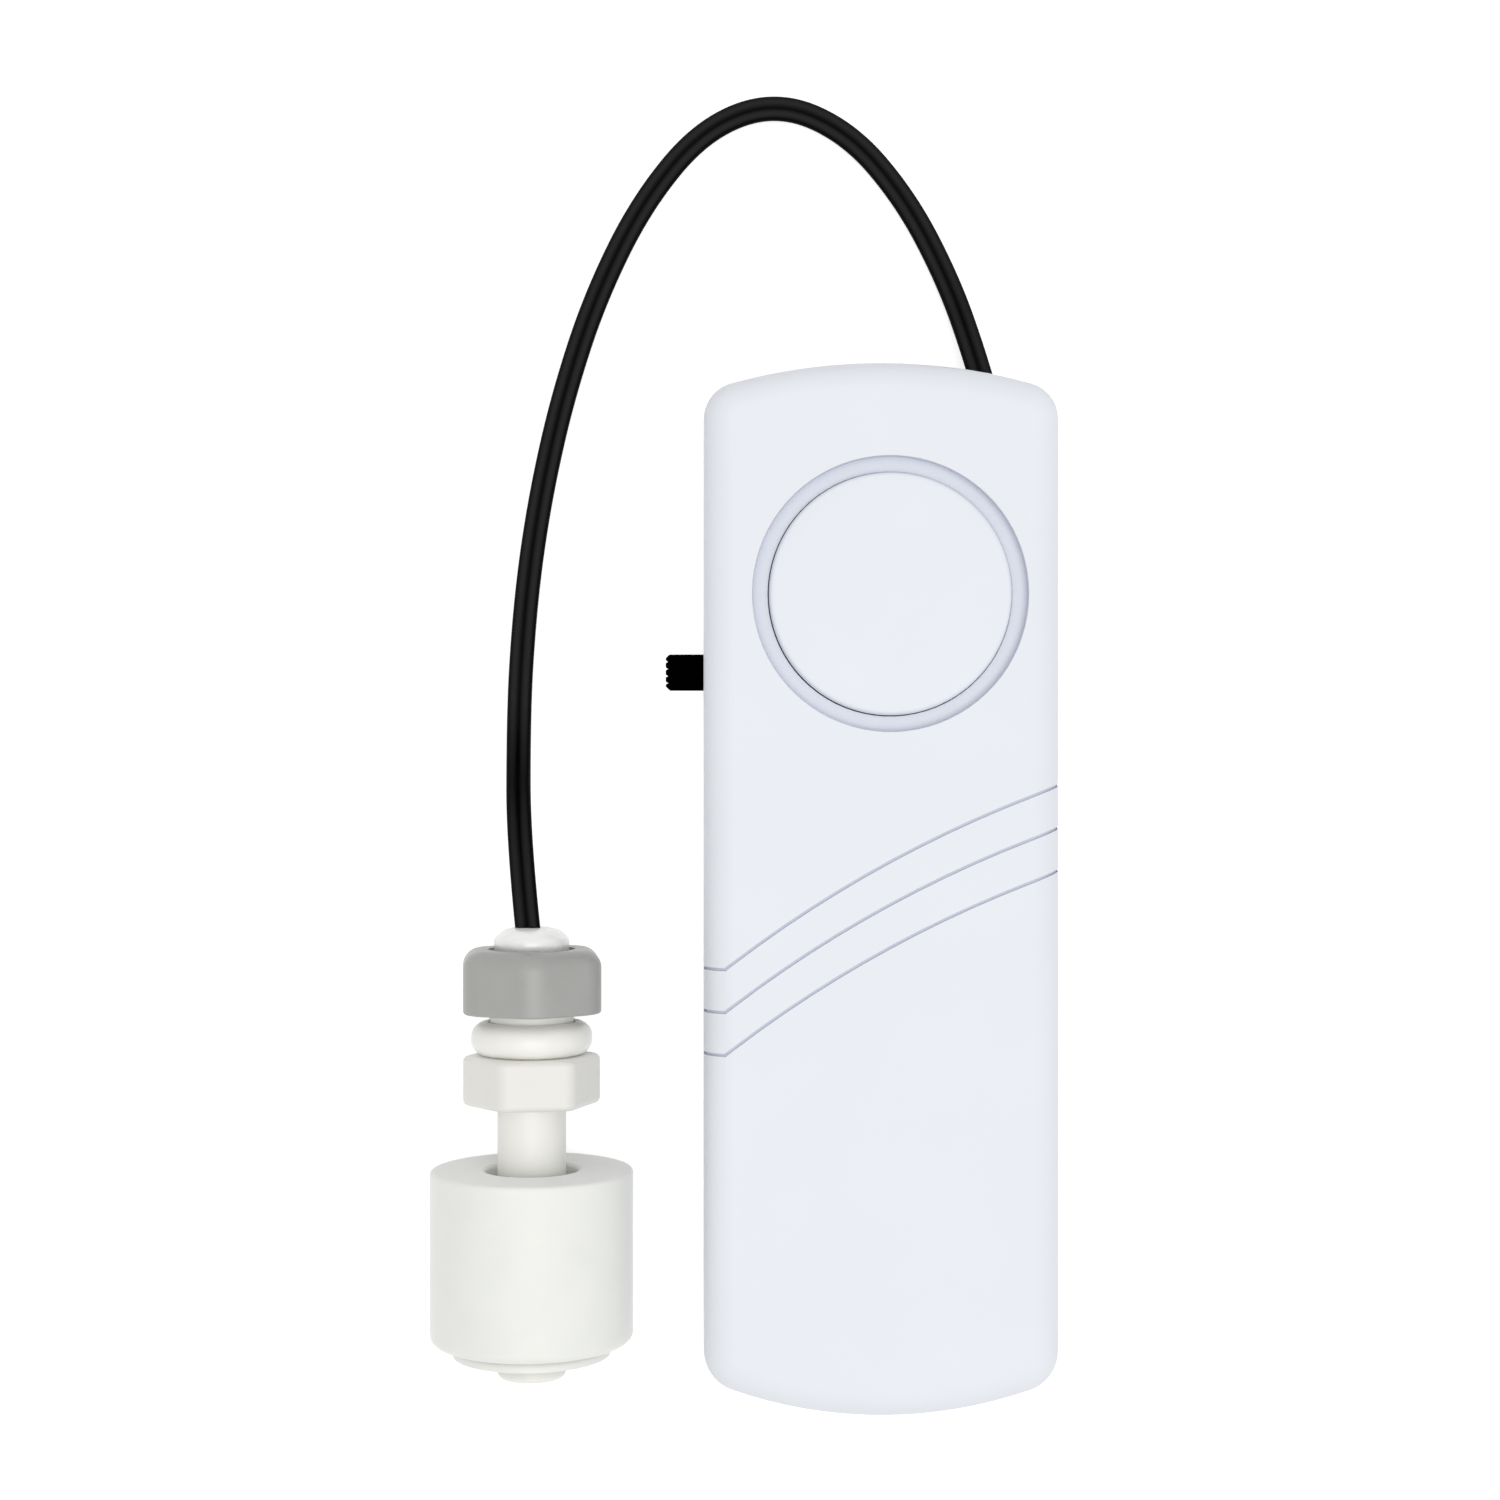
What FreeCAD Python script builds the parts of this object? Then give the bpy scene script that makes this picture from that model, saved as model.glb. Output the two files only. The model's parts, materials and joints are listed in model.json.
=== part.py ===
import FreeCAD
import Part
import math
import os

from FreeCAD import Vector

# Float switch water alarm, lying on its back on a flat surface, in millimetres.
# The origin is the centre of the alarm's back face. +Z points out of its front,
# +Y to the end that the cord leaves, and +X to the right, seen from the front.

# Alarm housing
body_length = 99.3
body_width = 33.5
wall = 1.2
top_end_radius = 53.0
bottom_end_radius = 43.0
top_corner_radius = 3.5
bottom_corner_radius = 4.0
front_edge_round = 3.0
back_edge_round = 0.8
rear_shell_height = 4.0
lip_height = 1.2
lip_thickness = 0.8
part_gap = 0.1

# A cutter reaches this far past what it cuts
overshoot = 1.0

# Sounder on the front
sounder_offset = 0.75
sounder_from_top_end = 21.95
sounder_radius = 11.325
sounder_ring_width = 1.575
sounder_ring_depth = 1.1
sounder_gap = 0.12
sounder_crown = 0.12
sounder_plate_thickness = 1.2
sounder_skirt_thickness = 0.8
sounder_seat_gap = 0.55
sounder_seat_thickness = 1.0
sounder_seat_width = 1.9
piezo_plate_thickness = 0.2
piezo_ceramic_radius = 7.0
piezo_ceramic_thickness = 0.2
piezo_ceramic_joint_x = -2.4
piezo_ceramic_joint_y = -4.2
piezo_ceramic_pad_x = -4.95
piezo_ceramic_pad_y = -8.1
piezo_plate_joint_x = 3.6
piezo_plate_joint_from_rim = 3.925
piezo_plate_pad_x = 1.85
piezo_plate_pad_y = -10.5
piezo_wire_rise = 1.0

# Incised lines on the front
groove_count = 3
groove_spacing = 4.0
groove_width = 0.28
groove_depth = 0.25
groove_kink_inset = 2.05
groove_kink_y = -7.4
groove_end_inset = 0.75
groove_end_y = 9.56
groove_arc_radius = 113.0
groove_run_down_side = 0.4

# Slide switch in the left wall
knob_from_top_end = 29.1
knob_length = 3.43
knob_thickness = 2.2
knob_reach = 3.7
knob_tooth_count = 5
knob_tooth_depth = 0.28
knob_end_chamfer = 0.35
knob_travel = 2.5
knob_gap = 0.15
switch_length = 8.6
switch_depth = 4.9
switch_height = 4.4
switch_sheet = 0.3
switch_base_thickness = 0.8
switch_shoulder_thickness = 1.0
switch_lift = 0.05
switch_pin_count = 3
switch_pin_pitch = 2.5
switch_pin_width = 0.6
switch_pin_thickness = 0.3
switch_pin_length = 1.0
switch_wiper_width = 1.2
switch_finger_width = 0.4

# Circuit board and its components
board_side_gap = 1.2
board_length = 34.0
board_thickness = 1.0
board_underside = 3.2
board_from_top_end = 9.65
board_post_radius = 1.5
board_post_inset = 2.6
coil_from_board_side = 6.2
coil_from_board_end = 5.0
coil_flange_radius = 3.75
coil_flange_thickness = 0.9
coil_height = 6.6
coil_neck_radius = 1.8
coil_winding_radius = 3.2
coil_winding_gap = 0.05
capacitor_coil_gap = 1.75
capacitor_from_board_end = 4.6
capacitor_radius = 2.5
capacitor_height = 6.5
capacitor_rim_round = 0.3
capacitor_mark_length = 3.0
capacitor_mark_width = 0.2
capacitor_mark_depth = 0.15
transistor_capacitor_gap = 1.2
transistor_from_board_end = 5.0
transistor_radius = 2.3
transistor_flat = 1.3
transistor_height = 4.6
transistor_leg_height = 2.0
transistor_leg_width = 0.45
transistor_leg_pitch = 1.27
chip_offset_x = 1.25
chip_offset_y = 1.8
chip_radius = 4.2
chip_height = 1.5
resistor_length = 2.0
resistor_width = 1.25
resistor_height = 0.5
resistor_count = 6
resistor_pitch = 2.6
resistor_row_from_board_side = 3.55
resistor_row_from_board_end = 4.4

# Button cells, their bay and its door
cell_radius = 5.8
cell_height = 5.4
cell_cap_radius = 4.6
cell_cap_height = 0.7
cell_count = 3
cell_lift = 0.15
cell_top_gap = 0.05
cell_rim_round = 0.35
bay_from_low_end = 33.85
bay_side_gap = 0.2
bay_wall = 1.0
bay_wall_over_cell_axis = 1.05
contact_thickness = 0.3
contact_half_width = 4.5
contact_below_cell_axis = 3.95
contact_above_cell_axis = 3.65
contact_ear_height = 1.6
contact_ear_reach = 2.9
positive_contact_bulge = 1.3
negative_contact_bulge = 2.2
contact_touch_gap = 0.05
contact_bump_radius = 2.6
door_half_width = 9.5
door_thickness = 1.0
door_tongue_width = 0.8
door_tongue_thickness = 0.5
door_past_bay = 2.8
door_frame_thickness = 0.9
door_frame_width = 1.4
door_grip_count = 4
door_grip_pitch = 1.6
door_grip_width = 0.7
door_grip_depth = 0.4
door_grip_length = 9.0
door_grip_from_low_end = 8.4

# Screws that hold the two shells together
high_screw_from_side = 7.25
high_screw_from_top_end = 6.65
low_screw_from_side = 5.75
low_screw_from_bay = 5.6
screw_radius = 1.0
screw_head_radius = 1.8
screw_head_height = 1.2
screw_head_depth = 0.4
screw_tip_below_cavity_top = 3.8
screw_tip_radius = 0.2
screw_tip_gap = 0.5
screw_slot_width = 0.5
screw_slot_depth = 0.6
screw_slot_length = 2.52
screw_gap = 0.03
screw_boss_wall = 1.0
boss_meeting_gap = 0.3

# Insulated wires inside the alarm
wire_radius = 0.5
wire_drop_height = 6.5
wire_pad_run = 5.0

# Flat two-core cord between the alarm and the float switch
cord_width = 2.4
cord_thickness = 1.25
cord_gap = 0.15
cord_lie_gap = 0.02
core_radius = 0.5
core_spread = 1.3
cord_tail_flat = 2.4
cord_core_overlap = 0.2
cord_core_run = 1.6
cord_core_edge_gap = 0.6
cord_core_height = 2.4
cord_pad_inset = 1.4
cord_arc_share = 0.45
cord_seat_depth = 0.4

# Float switch, whose axis lies along Y
probe_x = -33.1
floor_gap = 0.05
flange_top_y = -15.8
flange_thickness = 4.75
flange_across_flats = 11.65
flange_turn = 40.0
flange_corner_round = 1.4
flange_rim_round = 0.6
stem_radius = 3.25
stem_length = 25.85
stem_tip_round = 0.5
thread_radius = 4.0
thread_pitch = 1.25
thread_depth = 0.65
thread_length = 9.8
thread_end_chamfer = 0.5
thread_run_in = 1.2
thread_mouth_share = 0.42
thread_root_share = 0.0625
thread_cutter_reach = 0.2
stem_bore_radius = 1.75
stem_bore_floor = 1.6
gasket_radius = 5.75
gasket_thickness = 3.15
gasket_round = 1.45
gasket_gap = 0.1
nut_across_flats = 13.0
nut_thickness = 6.0
nut_turn_angle = 7.0
nut_gap = 0.08
nut_stand_off = 0.9
nut_corner_round = 3.0
nut_top_round = 1.7
nut_low_round = 0.3
plug_radius = 3.55
plug_height = 2.2
plug_rim_height = 1.1
plug_flat_radius = 1.35
plug_bulge_out = 0.3
plug_bulge_up = 0.25
plug_depth = 1.5
plug_gap = 0.02
float_radius = 9.65
float_length = 16.3
float_bore_radius = 4.4
float_wall = 1.1
float_cap_thickness = 1.2
float_cap_inset = 0.2
float_top_round = 0.4
float_low_round = 0.9
float_bore_round = 0.4
float_clip_gap = 0.25
float_flange_gap = 0.1
magnet_radius = 7.2
magnet_thickness = 3.0
magnet_gap = 0.1
clip_radius = 7.5
clip_thickness = 1.0
clip_groove_depth = 0.5
clip_tip_distance = 2.15
clip_gap = 0.05
clip_mouth_share = 0.85
reed_glass_radius = 1.1
reed_glass_length = 13.0
reed_glass_wall = 0.3
reed_glass_end = 1.2
reed_glass_round = 0.66
reed_centre_from_flange = 12.0
reed_blade_width = 1.0
reed_blade_thickness = 0.25
reed_blade_gap = 0.15
reed_blade_overlap = 1.5
reed_blade_end_gap = 1.4
reed_lead_radius = 0.25
reed_lead_length = 2.0
reed_lead_gap = 0.02
reed_lead_lap = 0.4
reed_wire_radius = 0.25
reed_turn_length = 1.0

# Places that follow from the sizes above
cell_axis_z = door_thickness + cell_lift + cell_radius
body_depth = cell_axis_z + cell_radius + cell_top_gap + wall
top_end_y = body_length / 2
low_end_y = -body_length / 2
right_side_x = body_width / 2
left_side_x = -body_width / 2
cavity_top = body_depth - wall
back_wall_middle = wall / 2
front_wall_middle = body_depth - wall / 2
lip_inset = wall + part_gap
inside_half_width = body_width / 2 - lip_inset - lip_thickness
board_half_width = inside_half_width - board_side_gap
board_top = board_underside + board_thickness
board_high_end_y = top_end_y - board_from_top_end
board_low_end_y = board_high_end_y - board_length
sounder_centre = Vector(sounder_offset, top_end_y - sounder_from_top_end, 0)
sounder_seat_low = board_top + switch_lift + switch_height + sounder_seat_gap
sounder_seat_height = sounder_seat_low + sounder_seat_thickness
sounder_ring_radius = sounder_radius + sounder_ring_width
groove_kink = Vector(left_side_x + groove_kink_inset, groove_kink_y, 0)
groove_end = Vector(right_side_x - groove_end_inset, groove_end_y, 0)
coil_centre = Vector(board_half_width - coil_from_board_side, board_low_end_y + coil_from_board_end, 0)
capacitor_x = coil_centre.x - coil_flange_radius - capacitor_coil_gap - capacitor_radius
capacitor_centre = Vector(capacitor_x, board_low_end_y + capacitor_from_board_end, 0)
transistor_x = capacitor_x - capacitor_radius - transistor_capacitor_gap - transistor_radius
transistor_centre = Vector(transistor_x, board_low_end_y + transistor_from_board_end, 0)
chip_centre = sounder_centre + Vector(chip_offset_x, chip_offset_y, 0)
last_resistor_x = board_half_width - resistor_row_from_board_side - resistor_width
resistor_row_y = board_high_end_y - resistor_row_from_board_end
bay_top_y = low_end_y + bay_from_low_end
cell_stack_top_y = bay_top_y - contact_thickness - positive_contact_bulge - contact_touch_gap
cell_stack_low_y = cell_stack_top_y - cell_count * cell_height
bay_low_y = cell_stack_low_y - contact_touch_gap - negative_contact_bulge - contact_thickness
bay_half_width = cell_radius + bay_side_gap
bay_wall_top = cell_axis_z + bay_wall_over_cell_axis
door_top_end_y = bay_top_y + door_past_bay
door_grip_first_y = low_end_y + door_grip_from_low_end
contact_bottom = cell_axis_z - contact_below_cell_axis
contact_top = cell_axis_z + contact_above_cell_axis
ear_z = contact_top - contact_ear_height / 2
high_screw = Vector(left_side_x + high_screw_from_side, top_end_y - high_screw_from_top_end, 0)
low_screw = Vector(right_side_x - low_screw_from_side, bay_top_y + low_screw_from_bay, 0)
screw_places = [high_screw, low_screw]
screw_tip_height = cavity_top - screw_tip_below_cavity_top
boss_meeting_height = rear_shell_height + boss_meeting_gap
wire_bend_y = (bay_top_y + board_low_end_y) / 2
probe_z = float_radius + floor_gap
probe_axis = Vector(probe_x, 0, probe_z)
stem_start_y = flange_top_y - flange_thickness
stem_tip_y = stem_start_y - stem_length
thread_end_y = flange_top_y + thread_length
gasket_top_y = flange_top_y + gasket_thickness
nut_low_y = gasket_top_y + nut_stand_off
nut_top_y = nut_low_y + nut_thickness
clip_low_y = stem_tip_y + clip_tip_distance
clip_top_y = clip_low_y + clip_thickness
float_low_y = clip_top_y + float_clip_gap
float_top_y = float_low_y + float_length
float_travel = stem_start_y - float_top_y - float_flange_gap
knob_centre_y = top_end_y - knob_from_top_end
knob_centre_z = board_top + switch_lift + switch_height / 2
knob_tip_x = left_side_x - knob_reach
switch_centre_y = knob_centre_y + knob_travel / 2
switch_front_x = -inside_half_width + part_gap
switch_pad_x = switch_front_x + switch_depth - switch_base_thickness
cord_lie_z = cord_thickness / 2 + cord_lie_gap
cord_exit_z = rear_shell_height - cord_gap - cord_thickness / 2
plug_top_y = thread_end_y + plug_height

# The cord's route, from inside the alarm's end wall to the float switch, points chosen by hand
cord_route = [
    Vector(right_side_x - 5.89, top_end_y - 2.35, cord_exit_z),
    Vector(right_side_x - 7.19, top_end_y + 2.25, cord_exit_z),
    Vector(7.2, 59.6, cord_lie_z),
    Vector(3.1, 67.5, cord_lie_z),
    Vector(-2.6, 74.2, cord_lie_z),
    Vector(-9.7, 77.2, cord_lie_z),
    Vector(-16.9, 74.6, cord_lie_z),
    Vector(-23.0, 67.3, cord_lie_z),
    Vector(-27.6, 58.0, cord_lie_z),
    Vector(-30.7, 48.6, cord_lie_z),
    Vector(-32.8, 39.6, cord_lie_z),
    Vector(-34.2, 30.9, cord_lie_z),
    Vector(-35.0, 22.0, cord_lie_z),
    Vector(-35.25, 14.5, cord_lie_z),
    Vector(-34.5, 4.6, probe_z - 1.3),
    Vector(probe_x - 0.35, plug_top_y - cord_seat_depth, probe_z),
]

# Two places closer than this count as one
same_place = 1e-5

X_AXIS = Vector(1, 0, 0)
Y_AXIS = Vector(0, 1, 0)
Z_AXIS = Vector(0, 0, 1)


def block(low_x, high_x, low_y, high_y, low_z, high_z):
    size = (high_x - low_x, high_y - low_y, high_z - low_z)
    return Part.makeBox(*size, Vector(low_x, low_y, low_z))


def slab(low_z, high_z):
    return block(-body_width, body_width, -body_length, body_length, low_z, high_z)


def post(centre, radius, low_z, high_z):
    return Part.makeCylinder(radius, high_z - low_z, Vector(centre.x, centre.y, low_z), Z_AXIS)


def ring(centre, outer, inner, low_z, high_z):
    return post(centre, outer, low_z, high_z).cut(post(centre, inner, low_z, high_z))


def round_edges(shape, radius):
    picked = []
    for edge in shape.Edges:
        if edge.Curve.TypeId == "Part::GeomCircle" and abs(edge.Curve.Radius - radius) < same_place:
            picked.append(edge)
    return picked


def barrel(radius, low_y, high_y, axis=probe_axis):
    return Part.makeCylinder(radius, high_y - low_y, Vector(axis.x, low_y, axis.z), Y_AXIS)


def sleeve(outer, inner, low_y, high_y, axis=probe_axis):
    return barrel(outer, low_y, high_y, axis).cut(barrel(inner, low_y, high_y, axis))


def joined(shapes):
    whole = shapes[0]
    for shape in shapes[1:]:
        whole = whole.fuse(shape)
    return whole.removeSplitter()


def drilled(shape, tools):
    for tool in tools:
        shape = shape.cut(tool)
    return shape


def runs_along(edge, axis):
    return abs(edge.tangentAt(edge.FirstParameter).dot(axis)) > 0.9


def edges_at(shape, axis, value):
    picked = []
    for edge in shape.Edges:
        if all(abs(getattr(vertex.Point, axis) - value) < same_place for vertex in edge.Vertexes):
            picked.append(edge)
    return picked


def sagitta(radius, half_chord):
    return radius - math.sqrt(radius * radius - half_chord * half_chord)


# Outline of the housing: straight sides, a shallow arc at each end and rounded corners
def outline_prism(inset, low_z, high_z):
    half = body_width / 2 - inset
    end_y = body_length / 2 - inset
    top_y = end_y - sagitta(top_end_radius - inset, half)
    low_y = -end_y + sagitta(bottom_end_radius - inset, half)
    top_right = Vector(half, top_y, low_z)
    top_left = Vector(-half, top_y, low_z)
    low_left = Vector(-half, low_y, low_z)
    low_right = Vector(half, low_y, low_z)
    edges = [
        Part.LineSegment(low_right, top_right).toShape(),
        Part.Arc(top_right, Vector(0, end_y, low_z), top_left).toShape(),
        Part.LineSegment(top_left, low_left).toShape(),
        Part.Arc(low_left, Vector(0, -end_y, low_z), low_right).toShape(),
    ]
    prism = Part.Face(Part.Wire(edges)).extrude(Vector(0, 0, high_z - low_z))
    for corner_y, radius in ((top_y, top_corner_radius), (low_y, bottom_corner_radius)):
        corners = [edge for edge in edges_at(prism, "y", corner_y) if edge.Length > (high_z - low_z) / 2]
        upright = [edge for edge in corners if runs_along(edge, Z_AXIS)]
        prism = prism.makeFillet(radius - inset, upright)
    return prism


def housing_block(inset):
    solid = outline_prism(inset, 0, body_depth - inset)
    solid = solid.makeFillet(front_edge_round - inset, edges_at(solid, "z", body_depth - inset))
    return solid


def housing_outside():
    solid = housing_block(0)
    return solid.makeFillet(back_edge_round, edges_at(solid, "z", 0))


def housing_inside():
    return housing_block(wall).cut(slab(-overshoot, wall))


def lip():
    low = rear_shell_height - lip_height
    middle = rear_shell_height
    high = rear_shell_height + lip_height
    inner = outline_prism(lip_inset + lip_thickness, low, high)
    root = outline_prism(wall, low, middle)
    rim = outline_prism(lip_inset, middle, high)
    return root.fuse(rim).removeSplitter().cut(inner)


def groove_centre():
    chord = groove_end - groove_kink
    half = chord.Length / 2
    reach = math.sqrt(groove_arc_radius * groove_arc_radius - half * half)
    square = Vector(chord.y, -chord.x, 0).normalize()
    return groove_kink + chord * 0.5 + square * reach


def grooves():
    low = body_depth - front_edge_round - groove_run_down_side
    high = body_depth + overshoot
    edge = body_width
    half = groove_width / 2
    arc = ring(groove_centre(), groove_arc_radius + half, groove_arc_radius - half, low, high)
    window = block(groove_kink.x, edge, groove_kink.y - overshoot, groove_kink.y + body_width, low, high)
    flat = block(-edge, groove_kink.x + half, groove_kink.y - half, groove_kink.y + half, low, high)
    line = arc.common(window).fuse(flat)
    lines = []
    for number in range(groove_count):
        lines.append(line.translated(Vector(0, -number * groove_spacing, 0)))
    skin = housing_block(0).cut(housing_block(groove_depth))
    return Part.makeCompound(lines).common(skin)


def knob_slot():
    half = knob_length / 2 + knob_gap
    half_height = knob_thickness / 2 + knob_gap
    return block(
        left_side_x - overshoot,
        -inside_half_width + overshoot,
        knob_centre_y - half,
        knob_centre_y + knob_travel + half,
        knob_centre_z - half_height,
        knob_centre_z + half_height,
    )


def cord_notch():
    start = cord_route[0]
    way = cord_route[1] - start
    low = cord_exit_z - cord_thickness / 2 - cord_gap
    high = rear_shell_height + lip_height + overshoot
    half = cord_width / 2 + cord_gap
    long = 4 * wall
    notch = block(-half, half, -long, long, low, high)
    turn = math.degrees(math.atan2(-way.x, way.y))
    notch.rotate(Vector(0, 0, 0), Z_AXIS, turn)
    notch.translate(Vector(start.x, start.y, 0))
    return notch


def front_shell():
    shell = housing_outside().cut(housing_inside())
    shell = shell.cut(slab(-overshoot, rear_shell_height))
    shell = shell.fuse(post(sounder_centre, sounder_ring_radius, sounder_seat_low, front_wall_middle))
    bosses = []
    for place in screw_places:
        outer = screw_radius + screw_gap + screw_boss_wall
        bosses.append(post(place, outer, boss_meeting_height, front_wall_middle))
    shell = joined([shell] + bosses)
    above = body_depth + overshoot
    well_radius = sounder_radius + sounder_gap
    well = post(sounder_centre, well_radius, sounder_seat_height, above)
    eye = post(sounder_centre, well_radius - sounder_seat_width, sounder_seat_low - overshoot, above)
    recess = post(sounder_centre, sounder_ring_radius, body_depth - sounder_ring_depth, above)
    tools = [well, eye, recess, grooves(), knob_slot()]
    for place in screw_places:
        hole_top = screw_tip_height + screw_tip_gap
        tools.append(post(place, screw_radius + screw_gap, boss_meeting_height - overshoot, hole_top))
    return drilled(shell, tools)


def door_blank(gap):
    half = door_half_width + gap
    top = door_thickness + gap
    plate = block(-half, half, -body_length, door_top_end_y + gap, -overshoot, top)
    tongue_half = half + door_tongue_width
    tongue_low = door_thickness - door_tongue_thickness - gap
    tongue = block(-tongue_half, tongue_half, -body_length, door_top_end_y + gap, tongue_low, top)
    return plate.fuse(tongue).removeSplitter()


def rear_shell():
    shell = housing_outside().cut(housing_inside())
    shell = shell.cut(slab(rear_shell_height, body_depth + overshoot))
    frame_half = door_half_width + door_tongue_width + door_frame_width
    frame_top = door_thickness + part_gap + door_frame_thickness
    frame_end_y = door_top_end_y + door_frame_width
    frame = block(-frame_half, frame_half, -body_length, frame_end_y, back_wall_middle, frame_top)
    frame = frame.common(outline_prism(wall / 2, 0, body_depth))
    bay_outer = bay_half_width + bay_wall
    bay_ends = (bay_low_y - bay_wall, bay_top_y + bay_wall)
    bay = block(-bay_outer, bay_outer, *bay_ends, back_wall_middle, bay_wall_top)
    pieces = [shell, lip(), frame, bay]
    for end_x in (-1, 1):
        for end_y in (board_low_end_y + board_post_inset, board_high_end_y - board_post_inset):
            place = Vector(end_x * (board_half_width - board_post_inset), end_y, 0)
            pieces.append(post(place, board_post_radius, back_wall_middle, board_underside))
    for place in screw_places:
        outer = screw_head_radius + part_gap + screw_boss_wall
        pieces.append(post(place, outer, back_wall_middle, rear_shell_height))
    shell = joined(pieces)
    hollow_top = bay_wall_top + overshoot
    bay_hollow = block(-bay_half_width, bay_half_width, bay_low_y, bay_top_y, -overshoot, hollow_top)
    tools = [bay_hollow, door_blank(part_gap), cord_notch()]
    seat = screw_head_depth + screw_head_height
    for place in screw_places:
        tools.append(post(place, screw_head_radius + part_gap, -overshoot, seat))
        tools.append(post(place, screw_radius + part_gap, seat - overshoot, rear_shell_height + overshoot))
    return drilled(shell, tools)


def battery_door():
    door = door_blank(0).common(housing_outside())
    grips = []
    for number in range(door_grip_count):
        centre = door_grip_first_y - number * door_grip_pitch
        half = door_grip_width / 2
        long = door_grip_length / 2
        grips.append(block(-long, long, centre - half, centre + half, -overshoot, door_grip_depth))
    return drilled(door, grips)


def case_screws():
    screws = []
    for place in screw_places:
        head_top = screw_head_depth + screw_head_height
        head = post(place, screw_head_radius, screw_head_depth, head_top)
        shank = post(place, screw_radius, head_top, screw_tip_height - screw_radius)
        tip_start = Vector(place.x, place.y, screw_tip_height - screw_radius)
        tip = Part.makeCone(screw_radius, screw_tip_radius, screw_radius, tip_start, Z_AXIS)
        half = screw_slot_width / 2
        long = screw_slot_length / 2
        slots = []
        for reach_x, reach_y in ((long, half), (half, long)):
            slots.append(block(place.x - reach_x, place.x + reach_x, place.y - reach_y, place.y + reach_y,
                               screw_head_depth - overshoot, screw_head_depth + screw_slot_depth))
        screws.append(drilled(joined([head, shank, tip]), slots))
    return Part.makeCompound(screws)


def sounder_disc():
    top = body_depth + sounder_crown
    edge_z = body_depth - sounder_crown
    low = edge_z - sounder_plate_thickness
    ball_radius = (sounder_radius * sounder_radius + 4 * sounder_crown * sounder_crown) / (4 * sounder_crown)
    plate = post(sounder_centre, sounder_radius, low, top + overshoot)
    ball = Part.makeSphere(ball_radius, sounder_centre + Vector(0, 0, top - ball_radius))
    plate = plate.common(ball)
    inner = sounder_radius - sounder_skirt_thickness
    skirt = ring(sounder_centre, sounder_radius, inner, sounder_seat_height, low)
    return plate.fuse(skirt).removeSplitter()


def piezo_plate():
    radius = sounder_radius - sounder_skirt_thickness - part_gap
    return post(sounder_centre, radius, sounder_seat_height, sounder_seat_height + piezo_plate_thickness)


def piezo_ceramic():
    low = sounder_seat_height - piezo_ceramic_thickness
    return post(sounder_centre, piezo_ceramic_radius, low, sounder_seat_height)


def switch_pin_blocks(gap, low_z, high_z):
    half = switch_pin_width / 2 + gap
    pins = []
    for number in range(switch_pin_count):
        pin_y = switch_centre_y + (number - (switch_pin_count - 1) / 2) * switch_pin_pitch
        low_x = switch_pad_x - switch_pin_thickness - gap
        pins.append(block(low_x, switch_pad_x + gap, pin_y - half, pin_y + half, low_z, high_z))
    return pins


def circuit_board():
    half = board_half_width
    board = block(-half, half, board_low_end_y, board_high_end_y, board_underside, board_top)
    return drilled(board, switch_pin_blocks(part_gap, board_underside - overshoot, board_top + overshoot))


def control_chip():
    ball_radius = (chip_radius * chip_radius + chip_height * chip_height) / (2 * chip_height)
    ball = Part.makeSphere(ball_radius, chip_centre + Vector(0, 0, board_top + chip_height - ball_radius))
    above = board_top + chip_height + overshoot
    return ball.common(post(chip_centre, chip_radius + overshoot, board_top, above))


def boost_coil_core():
    top = board_top + coil_height
    return joined([
        post(coil_centre, coil_flange_radius, board_top, board_top + coil_flange_thickness),
        post(coil_centre, coil_neck_radius, board_top, top),
        post(coil_centre, coil_flange_radius, top - coil_flange_thickness, top),
    ])


def boost_coil_winding():
    low = board_top + coil_flange_thickness + coil_winding_gap
    high = board_top + coil_height - coil_flange_thickness - coil_winding_gap
    return ring(coil_centre, coil_winding_radius, coil_neck_radius + coil_winding_gap, low, high)


def capacitor():
    can = post(capacitor_centre, capacitor_radius, board_top, board_top + capacitor_height)
    can = can.makeFillet(capacitor_rim_round, edges_at(can, "z", board_top + capacitor_height))
    long = capacitor_mark_length / 2
    half = capacitor_mark_width / 2
    mark = block(-long, long, -half, half, -capacitor_mark_depth, overshoot)
    mark.translate(capacitor_centre + Vector(0, 0, board_top + capacitor_height))
    return can.cut(mark)


def driver_transistor():
    low = board_top + transistor_leg_height
    body = post(transistor_centre, transistor_radius, low, low + transistor_height)
    flat_y = transistor_centre.y - transistor_flat
    past = transistor_radius + overshoot
    cut = block(transistor_centre.x - past, transistor_centre.x + past, flat_y - past, flat_y,
                low - overshoot, low + transistor_height + overshoot)
    pieces = [body.cut(cut)]
    half = transistor_leg_width / 2
    for number in (-1, 0, 1):
        leg_x = transistor_centre.x + number * transistor_leg_pitch
        pieces.append(block(leg_x - half, leg_x + half, transistor_centre.y - half,
                            transistor_centre.y + half, board_top, low + overshoot))
    return joined(pieces)


def resistors():
    chips = []
    for number in range(resistor_count):
        low_x = last_resistor_x - number * resistor_pitch
        chips.append(block(low_x, low_x + resistor_width, resistor_row_y, resistor_row_y + resistor_length,
                           board_top, board_top + resistor_height))
    return Part.makeCompound(chips)


def switch_case():
    low = board_top + switch_lift
    half = switch_length / 2
    case = block(switch_front_x, switch_front_x + switch_depth, switch_centre_y - half,
                 switch_centre_y + half, low, low + switch_height)
    hollow = block(switch_front_x + switch_sheet, switch_front_x + switch_depth + overshoot,
                   switch_centre_y - half + switch_sheet, switch_centre_y + half - switch_sheet,
                   low + switch_sheet, low + switch_height - switch_sheet)
    pin_slots = switch_pin_blocks(part_gap, board_top, low + switch_sheet + part_gap)
    return drilled(case, [hollow, knob_slot()] + pin_slots)


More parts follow.
